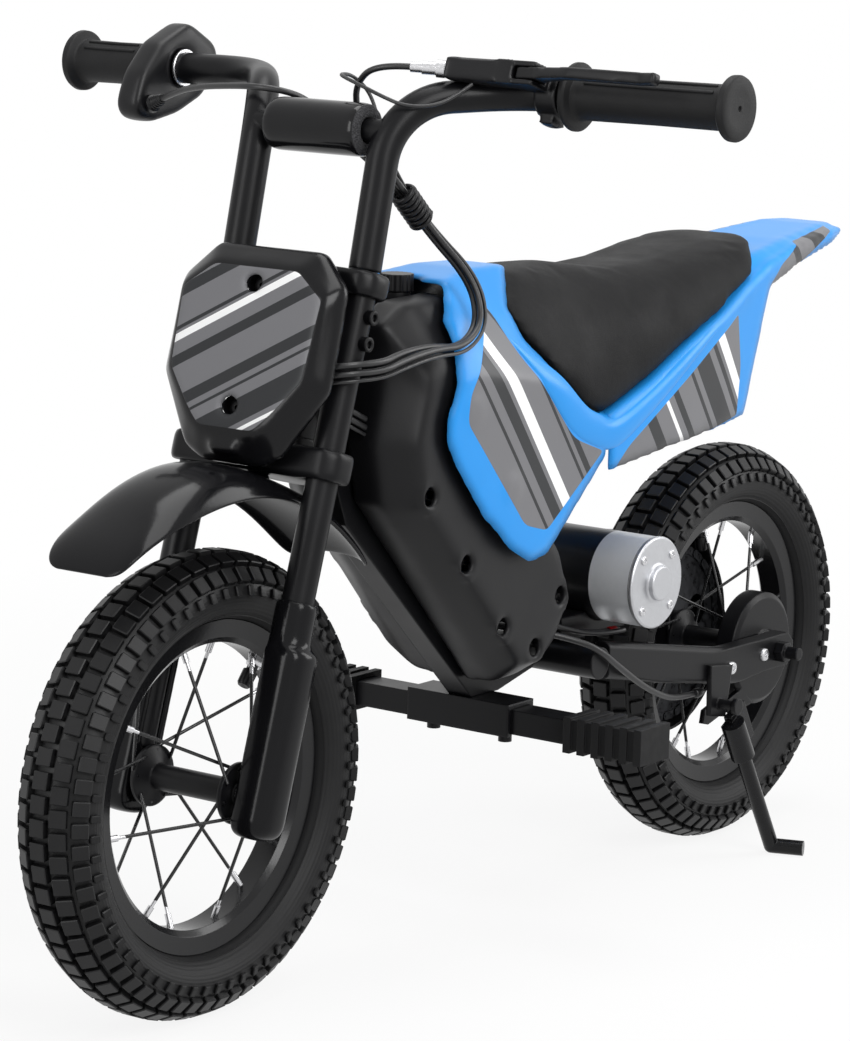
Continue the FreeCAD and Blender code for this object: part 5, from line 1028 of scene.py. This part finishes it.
    def fittings(self, steel):
        """Screws of the motor's end and of the rear stays."""
        low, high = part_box("motor_cap")
        centre = (low + high) / 2
        head = [(0, 0.0034), (0.0011, 0.0034), (0.0017, 0.0028), (0.0017, 0.0014)]
        head += [(0.0006, 0.0013), (0.0006, 0)]
        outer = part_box("motor_can")[1].y
        for i in range(4):
            angle = math.radians(45 + 90 * i)
            x, z = centre.x + 0.027 * math.cos(angle), centre.z + 0.027 * math.sin(angle)
            spot = Vector((x, outer + 0.0127, z))
            turned_piece(f"motor_screw_{i + 1}", head, spot, SIDE, steel, "chassis", 24)
        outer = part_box("rear_stays")[1].y
        washer = [(-0.002, 0), (-0.002, 0.0052), (0.0010, 0.0052), (0.0022, 0.0044), (0.0026, 0.0020)]
        washer += [(0.0010, 0.0016), (0.0010, 0)]
        for i, (x, z) in enumerate(((-0.2525, 0.1560), (-0.3010, 0.1590))):
            spot = Vector((x, outer, z))
            turned_piece(f"stay_screw_{i + 1}", washer, spot, SIDE, steel, "chassis", 28)


class MOTORBIKE_OT_wheels(bpy.types.Operator):
    """Rims, spokes and foot pegs"""

    bl_idname = "motorbike.wheels"
    bl_label = "Wheels"

    def execute(self, context):
        colours = settings(context)[1]
        rim = plastic_look("gloss_black_rim", colours.metal[:], 0.2, 0.0008, 0.003, 0.00005, 0.08)
        paint_all(rim, ["front_rim", "rear_rim"])
        paint_all(self.spokes(colours), ["front_spokes", "rear_spokes"])
        # Foot peg rubber: dull, dusty in the grooves.
        peg = grained_look(
            "peg_rubber", colours.rubber[:],
            (0.008, 4, 0.25), (0.008, 4, 0.5, 0.66), (0.0012, 3, 0.00012, 0.5), 0.0012,
            specular_ior_level=0.18,
        )
        paint_all(peg, ["peg_rubbers"])
        return {"FINISHED"}

    def spokes(self, colours):
        """Black spokes that end in bright nipples at the rim."""
        look = Look("black_spokes_bright_nipples")
        nipple = look.add("MapRange", (look.axle_distance(), 0.0838, 0.0842, 0, 1))
        haze = look.add("TexNoise", {"Scale": 1 / 0.002, "Detail": 2})
        black = look.shade(colours.metal[:], haze, 0.2)
        look.set(base_color=look.add("Mix", {0: nipple, 6: black, 7: colours.steel[:]}, **COLOUR_MIX))
        look.set(metallic=nipple, roughness=look.add("MapRange", (haze, 0.3, 0.7, 0.22, 0.34)))
        return look


class MOTORBIKE_OT_tyres(bpy.types.Operator):
    """Knobbly tyres with staggered rows of blocks"""

    bl_idname = "motorbike.tyres"
    bl_label = "Tyres"

    def execute(self, context):
        sizes, colours = settings(context)
        look = self.rubber(colours, "tyre_rubber", False)
        dotted = self.rubber(colours, "dotted_tyre_rubber", True)
        paint_all(look, ["front_tyre", "rear_tyre"])
        for end, x in (("front", WHEEL_X), ("rear", -WHEEL_X)):
            name = f"{end}_knobbly_tyre"
            mesh = self.tyre_mesh(name, Vector((x, 0, WHEEL_RADIUS)), sizes)
            piece = link_piece(mesh, name, look, f"{end}_wheel")
            mesh.materials.append(dotted.material)
            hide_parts(f"{end}_tyre")
        return {"FINISHED"}

    def tyre_mesh(self, name, centre, sizes):
        """A round carcass with blocks that stand along its crown."""
        core = WHEEL_RADIUS - sizes.tread_height - sizes.crown_radius
        side = []
        for angle in range(0, 63, 6):
            tilt = math.radians(angle)
            side.append((core + sizes.crown_radius * math.cos(tilt), sizes.crown_radius * math.sin(tilt)))
        side += [(0.1325, 0.0279), (0.1270, 0.0271), (0.1215, 0.0243), (0.1172, 0.0202), (0.1168, 0.0196)]
        side += [(0.1160, 0.0197), (0.1142, 0.0158), (0.1130, 0.0122), (0.1112, 0.0118)]
        outline = [(-y, r) for r, y in reversed(side[1:])] + [(y, r) for r, y in side]
        form = spin_profile(outline + outline[:1], centre, SIDE, 120)
        # Tilt across the crown, width, length, height and shift of each row.
        rows = [
            (0, 0.0118, 0.0118, 1.0, 0.0),
            (25.5, 0.0114, 0.0118, 1.0, 0.5),
            (51, 0.0112, 0.0100, 0.96, 0.0),
            (71, 0.0075, 0.0050, 0.36, 0.5),
        ]
        count = sizes.tread_count
        edges = set()
        for row, (tilt, width, length, rise, shift) in enumerate(rows):
            for way in ((1,) if tilt == 0 else (1, -1)):
                for i in range(count):
                    turn = 2 * math.pi * (i + shift) / count
                    shape = (width, length, sizes.tread_height * rise + 0.001)
                    place = self.block_place(centre, turn, math.radians(tilt * way), shape, sizes)
                    block = bmesh.ops.create_cube(form, size=1, matrix=place)["verts"]
                    edges.update(edge for vertex in block for edge in vertex.link_edges)
                    for face in {face for vertex in block for face in vertex.link_faces}:
                        face.material_index = (i + row) % 2
        round_edges(form, list(edges), 0.0006, 1)
        bmesh.ops.recalc_face_normals(form, faces=form.faces)
        return finished_mesh(form, name, 0.5)

    def block_place(self, centre, turn, tilt, shape, sizes):
        """Where a block of the tread stands."""
        radial = Vector((math.sin(turn), 0, math.cos(turn)))
        tangent = Vector((math.cos(turn), 0, -math.sin(turn)))
        outward = radial * math.cos(tilt) + SIDE * math.sin(tilt)
        lateral = tangent.cross(outward)
        core = WHEEL_RADIUS - sizes.tread_height - sizes.crown_radius
        middle = sizes.crown_radius - 0.001 + shape[2] / 2
        place = Matrix((lateral, tangent, outward)).transposed().to_4x4()
        place.translation = centre + radial * core + outward * middle
        return place @ Matrix.Diagonal((*shape, 1))

    def rubber(self, colours, name, dotted):
        """Tyre rubber: smooth blocks, dotted blocks, and a duller wall with fine mould rings."""
        look = Look(name)
        radius = look.axle_distance()
        wall = look.add("MapRange", (radius, 0.132, 0.136, 1, 0))
        bloom = look.add("TexNoise", {"Scale": 1 / 0.012, "Detail": 4})
        look.set(base_color=look.shade(colours.rubber[:], bloom, 0.3), specular_ior_level=0.24)
        turns = look.add("Math", (radius, 2600), operation="MULTIPLY")
        wave = look.add("Math", (turns,), operation="SINE")
        rings = look.add("Math", (wave, wall), operation="MULTIPLY")
        lines = look.add("Bump", {"Height": rings, "Distance": 0.00012, "Strength": 0.5})
        if dotted:
            cells = look.add("TexVoronoi", {"Scale": 1 / 0.0018})
            dots = look.add("MapRange", (cells, 0.15, 0.4, 1, 0))
            lines = look.add("Bump", {"Height": dots, "Distance": 0.0005, "Strength": 0.9, "Normal": lines})
        look.set(roughness=look.add("MapRange", (wall, 0, 1, 0.62 if dotted else 0.42, 0.55)))
        fine = look.add("TexNoise", {"Scale": 1 / 0.0014, "Detail": 3})
        relief = {"Height": fine, "Distance": 0.00012, "Strength": 0.4, "Normal": lines}
        look.set(normal=look.add("Bump", relief))
        return look


class MOTORBIKE_OT_grips(bpy.types.Operator):
    """Flanged hand grips"""

    bl_idname = "motorbike.grips"
    bl_label = "Grips"

    def execute(self, context):
        colours = settings(context)[1]
        # Soft grip rubber: an even matt skin with a faint bloom.
        look = grained_look(
            "grip_rubber", colours.rubber[:],
            (0.01, 2, 0.25), (0.001, 3, 0.5, 0.62), (0.001, 3, 0.0001, 0.5), 0.0012, specular_ior_level=0.22,
        )
        paint_all(look, ["grip_left", "throttle_grip"])
        for node, way, body in (("grip_left", 1, "fork"), ("throttle_grip", -1, "throttle")):
            low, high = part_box(node)
            length = high.y - low.y
            start = Vector(((low.x + high.x) / 2, low.y if way > 0 else high.y, (low.z + high.z) / 2))
            flange = 0.0230 if way > 0 else 0.0168
            outline = [(0, 0.0113), (0, flange - 0.0012), (0.0012, flange), (0.0034, flange)]
            outline += [(0.0050, flange - 0.0014), (0.0062, 0.0165), (0.0085, 0.0154), (0.0110, 0.0152)]
            outline += [(length * 0.5, 0.0149), (length - 0.013, 0.0152), (length - 0.0090, 0.0158)]
            outline += [(length - 0.0076, 0.0172), (length - 0.0068, 0.0205), (length - 0.0056, 0.0216)]
            outline += [(length - 0.0024, 0.0218), (length - 0.0008, 0.0210), (length, 0.0190)]
            outline += [(length - 0.0006, 0.0120), (length - 0.0006, 0.0020)]
            outline += [(length - 0.0022, 0.0016), (length - 0.0022, 0)]
            piece = turned_piece(f"{node}_rubber", outline, start, SIDE * way, look, body, 56)
            self.ribs(f"{node}_ribs", start, way, length, look, body)
            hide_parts(node)
        return {"FINISHED"}

    def ribs(self, name, start, way, length, look, body):
        """Raised lengthways ribs on the thumb's side of a grip."""
        form = bmesh.new()
        for angle in (-65, -40, 40, 65):
            turn = math.radians(angle)
            out = FORK_UP * math.cos(turn) + FORK_AHEAD * math.sin(turn)
            place = Matrix((SIDE.cross(out), SIDE, out)).transposed().to_4x4()
            place.translation = start + SIDE * way * length / 2 + out * 0.0148
            shape = Matrix.Diagonal((0.0022, length - 0.028, 0.0030, 1))
            bmesh.ops.create_cube(form, size=1, matrix=place @ shape)
        round_edges(form, form.edges[:], 0.0007, 2)
        bmesh.ops.recalc_face_normals(form, faces=form.faces)
        link_piece(finished_mesh(form, name), name, look, body)


class MOTORBIKE_OT_details(bpy.types.Operator):
    """Seat rim, boots, rings, cups and valves"""

    bl_idname = "motorbike.details"
    bl_label = "Details"

    def execute(self, context):
        sizes, colours = settings(context)
        black = plastic_look("moulded_black_detail", colours.plastic[:], 0.3, 0.0006, sizes.texture, 0.00006)
        steel = bright_steel(colours)
        self.seat_rim(colours)
        self.throttle_fittings(black, steel)
        self.plate_cups(black)
        # A black block paints the shade in the gap under the front fairing.
        self.fairing_rib(black)
        self.valves(black, steel)
        self.lead_tip()
        return {"FINISHED"}

    def surface_y(self, x, z, way):
        """How far out the blue bodywork stands at a spot of its side."""
        best = None
        for name in ("front_moulding", "tail_moulding"):
            shell = bpy.data.objects[name]
            hit, spot, normal, face = shell.ray_cast(Vector((x, 0.2 * way, z)), Vector((0, -way, 0)))
            if hit and spot.y * way > 0.03 and (best is None or spot.y * way > best):
                best = spot.y * way
        return best

    def seat_rim(self, colours):
        """The raised blue rim that follows the seat's edge over the joint of the two mouldings."""
        # Upper and lower edge of the rim, in millimetres of X and Z.
        spans = [
            ((52, 440), (54, 438)), ((38, 431), (47, 427)), ((17, 420), (34, 411)), ((0, 408), (19, 395)),
            ((-15, 395), (4, 379)), ((-29, 384.5), (-13, 365)), ((-41, 379), (-33, 356)),
            ((-54, 376), (-55, 349)), ((-70, 379), (-72, 349)), ((-90, 386), (-90, 358)),
            ((-112, 394), (-110, 368)), ((-138, 405), (-136, 382)), ((-165, 416.5), (-163, 398)),
            ((-192, 427), (-190, 414)), ((-216, 436), (-215, 427)),
        ]
        bpy.context.view_layer.update()
        look = Look("blue_seat_rim")
        flow = look.add("TexNoise", {"Scale": 1 / 0.06, "Detail": 3})
        look.set(base_color=look.shade(colours.blue[:], flow, 0.06), roughness=0.3, coat_weight=0.05)
        fine = look.add("TexNoise", {"Scale": 1 / 0.0012, "Detail": 3})
        relief = look.add("Bump", {"Height": fine, "Distance": 0.00005, "Strength": 0.5})
        look.set(specular_ior_level=0.25, normal=relief)
        # Share of the way from the upper to the lower edge, and height over the bodywork.
        profile = [
            (0.0, -0.0012), (0.03, 0.0010), (0.2, 0.0024), (0.5, 0.0026),
            (0.8, 0.0020), (0.97, 0.0007), (1.0, -0.0012),
        ]
        for way, hand in ((1, "left"), (-1, "right")):
            form = bmesh.new()
            rows = []
            for i, (upper, lower) in enumerate(spans):
                fade = min(1, i / 1.5, (len(spans) - 1 - i) / 2)
                row = []
                out = 0.0700
                for share, rise in reversed(profile):
                    x = (upper[0] + (lower[0] - upper[0]) * share) / 1000
                    z = (upper[1] + (lower[1] - upper[1]) * share) / 1000
                    out = self.surface_y(x, z, way) or out
                    lift = rise * fade if rise > 0 else rise
                    row.append(form.verts.new((x, (out + lift) * way, z)))
                rows.append(row)
            bridge_rows(form, rows)
            form.normal_update()
            if rows[7][3].normal.y * way < 0:
                bmesh.ops.reverse_faces(form, faces=form.faces)
            name = f"seat_rim_{hand}"
            piece = link_piece(finished_mesh(form, name, 1.2), name, look, "chassis")
            subdivide(piece, 2)

    def throttle_fittings(self, black, steel):
        """Ribbed boot where the throttle cable leaves its housing, and a bright ring round the bar."""
        start = Vector(THROTTLE_ROUTE[0])
        way = (Vector(THROTTLE_ROUTE[1]) - start).normalized()
        outline = [(-0.004, 0), (-0.004, 0.0062), (0.0000, 0.0062), (0.0006, 0.0050)]
        for i in range(4):
            run = 0.0014 + 0.0026 * i
            radius = 0.0052 - 0.0004 * i
            outline += [(run, radius - 0.0008), (run + 0.0006, radius)]
            outline += [(run + 0.0014, radius), (run + 0.0020, radius - 0.0008)]
        outline += [(0.0124, 0.0030), (0.0124, 0.0023)]
        turned_piece("throttle_boot", outline, start, way, black, "fork", 28)
        ring = [(0, 0.0112), (0, 0.0128), (0.0004, 0.0133), (0.0020, 0.0133)]
        ring += [(0.0024, 0.0128), (0.0024, 0.0112)]
        spot = fork_spot(-0.058, -0.1838, 0.496)
        turned_piece("bar_ring", ring, spot, SIDE, steel, "fork", 48)

    def fairing_rib(self, black):
        """A black block under the front fairing's top, between it and the housing, that stands in for the
        shade in the gap there.
        """
        form = bmesh.new()
        place = Matrix.Translation((0.078, 0, 0.463)) @ Matrix.Diagonal((0.066, 0.004, 0.034, 1))
        bmesh.ops.create_cube(form, size=1, matrix=place)
        round_edges(form, form.edges[:], 0.001, 2)
        link_piece(finished_mesh(form, "fairing_rib"), "fairing_rib", black, "chassis")

    def plate_cups(self, black):
        """Dark screw wells behind the plate's two holes."""
        wells = [(-0.0105, 0), (-0.0105, 0.0012), (-0.0085, 0.0014), (-0.0085, 0.0038), (-0.0112, 0.0040)]
        wells += [(-0.0112, 0.0068), (-0.0031, 0.0068), (-0.0031, 0.0061)]
        for i, spot in enumerate(plate_holes()):
            turned_piece(f"plate_well_{i + 1}", wells, spot, FORK_AHEAD, black, "fork", 32)

    def valves(self, black, steel):
        """A tube valve on each rim, with its nut and cap."""
        nut = [(0, 0.0030), (0, 0.0062), (0.0040, 0.0062), (0.0046, 0.0054), (0.0046, 0.0030)]
        cap = [(0.003, 0.0036), (0.009, 0.0036), (0.0092, 0.0052), (0.0190, 0.0050)]
        cap += [(0.0205, 0.0040), (0.0205, 0)]
        for end, x, turn in (("front", WHEEL_X, 130), ("rear", -WHEEL_X, 78)):
            angle = math.radians(turn)
            out = Vector((math.cos(angle), 0, math.sin(angle)))
            spot = Vector((x, 0, WHEEL_RADIUS)) + out * 0.0975
            turned_piece(f"{end}_valve_nut", nut, spot, -out, steel, f"{end}_wheel", 6)
            turned_piece(f"{end}_valve_cap", cap, spot, -out, black, f"{end}_wheel", 24)

    def lead_tip(self):
        """The red sleeve on the end of one motor lead."""
        look = plastic_look("red_sleeve_pvc", hex_colour("B01218"), 0.4, 0.0004, 0.0012, 0.00005)
        end, before = Vector(LEAD_ROUTE[-1]), Vector(LEAD_ROUTE[-2])
        way = (before - end).normalized()
        sleeve = [(0.004, 0.0021), (0.004, 0.0027), (0.0046, 0.0029), (0.0124, 0.0029)]
        sleeve += [(0.013, 0.0027), (0.013, 0.0021)]
        turned_piece("motor_lead_sleeve", sleeve, end, way, look, "chassis", 24)


class MOTORBIKE_PT_panel(bpy.types.Panel):
    """Steps, sizes and colours in the sidebar."""

    bl_label = "Motorbike"
    bl_space_type = "VIEW_3D"
    bl_region_type = "UI"
    bl_category = "Motorbike"

    def draw(self, context):
        column = self.layout.column()
        for step in STEPS:
            column.operator(step.bl_idname)
        for group in (context.scene.motorbike_sizes, context.scene.motorbike_colours):
            for name in group.__annotations__:
                column.prop(group, name)


STEPS = (
    MOTORBIKE_OT_stage,
    MOTORBIKE_OT_cords,
    MOTORBIKE_OT_soft,
    MOTORBIKE_OT_bodywork,
    MOTORBIKE_OT_metalwork,
    MOTORBIKE_OT_wheels,
    MOTORBIKE_OT_tyres,
    MOTORBIKE_OT_grips,
    MOTORBIKE_OT_details,
)
CLASSES = (MotorbikeColours, MotorbikeSizes, *STEPS, MOTORBIKE_PT_panel)


def register():
    for item in CLASSES:
        bpy.utils.register_class(item)
    bpy.types.Scene.motorbike_colours = PointerProperty(type=MotorbikeColours)
    bpy.types.Scene.motorbike_sizes = PointerProperty(type=MotorbikeSizes)


def unregister():
    del bpy.types.Scene.motorbike_sizes
    del bpy.types.Scene.motorbike_colours
    for item in reversed(CLASSES):
        bpy.utils.unregister_class(item)


def main():
    register()
    bpy.ops.motorbike.stage()
    bpy.ops.motorbike.cords()
    bpy.ops.motorbike.soft()
    bpy.ops.motorbike.bodywork()
    bpy.ops.motorbike.metalwork()
    bpy.ops.motorbike.wheels()
    bpy.ops.motorbike.tyres()
    bpy.ops.motorbike.grips()
    bpy.ops.motorbike.details()


if __name__ == "__main__":
    main()
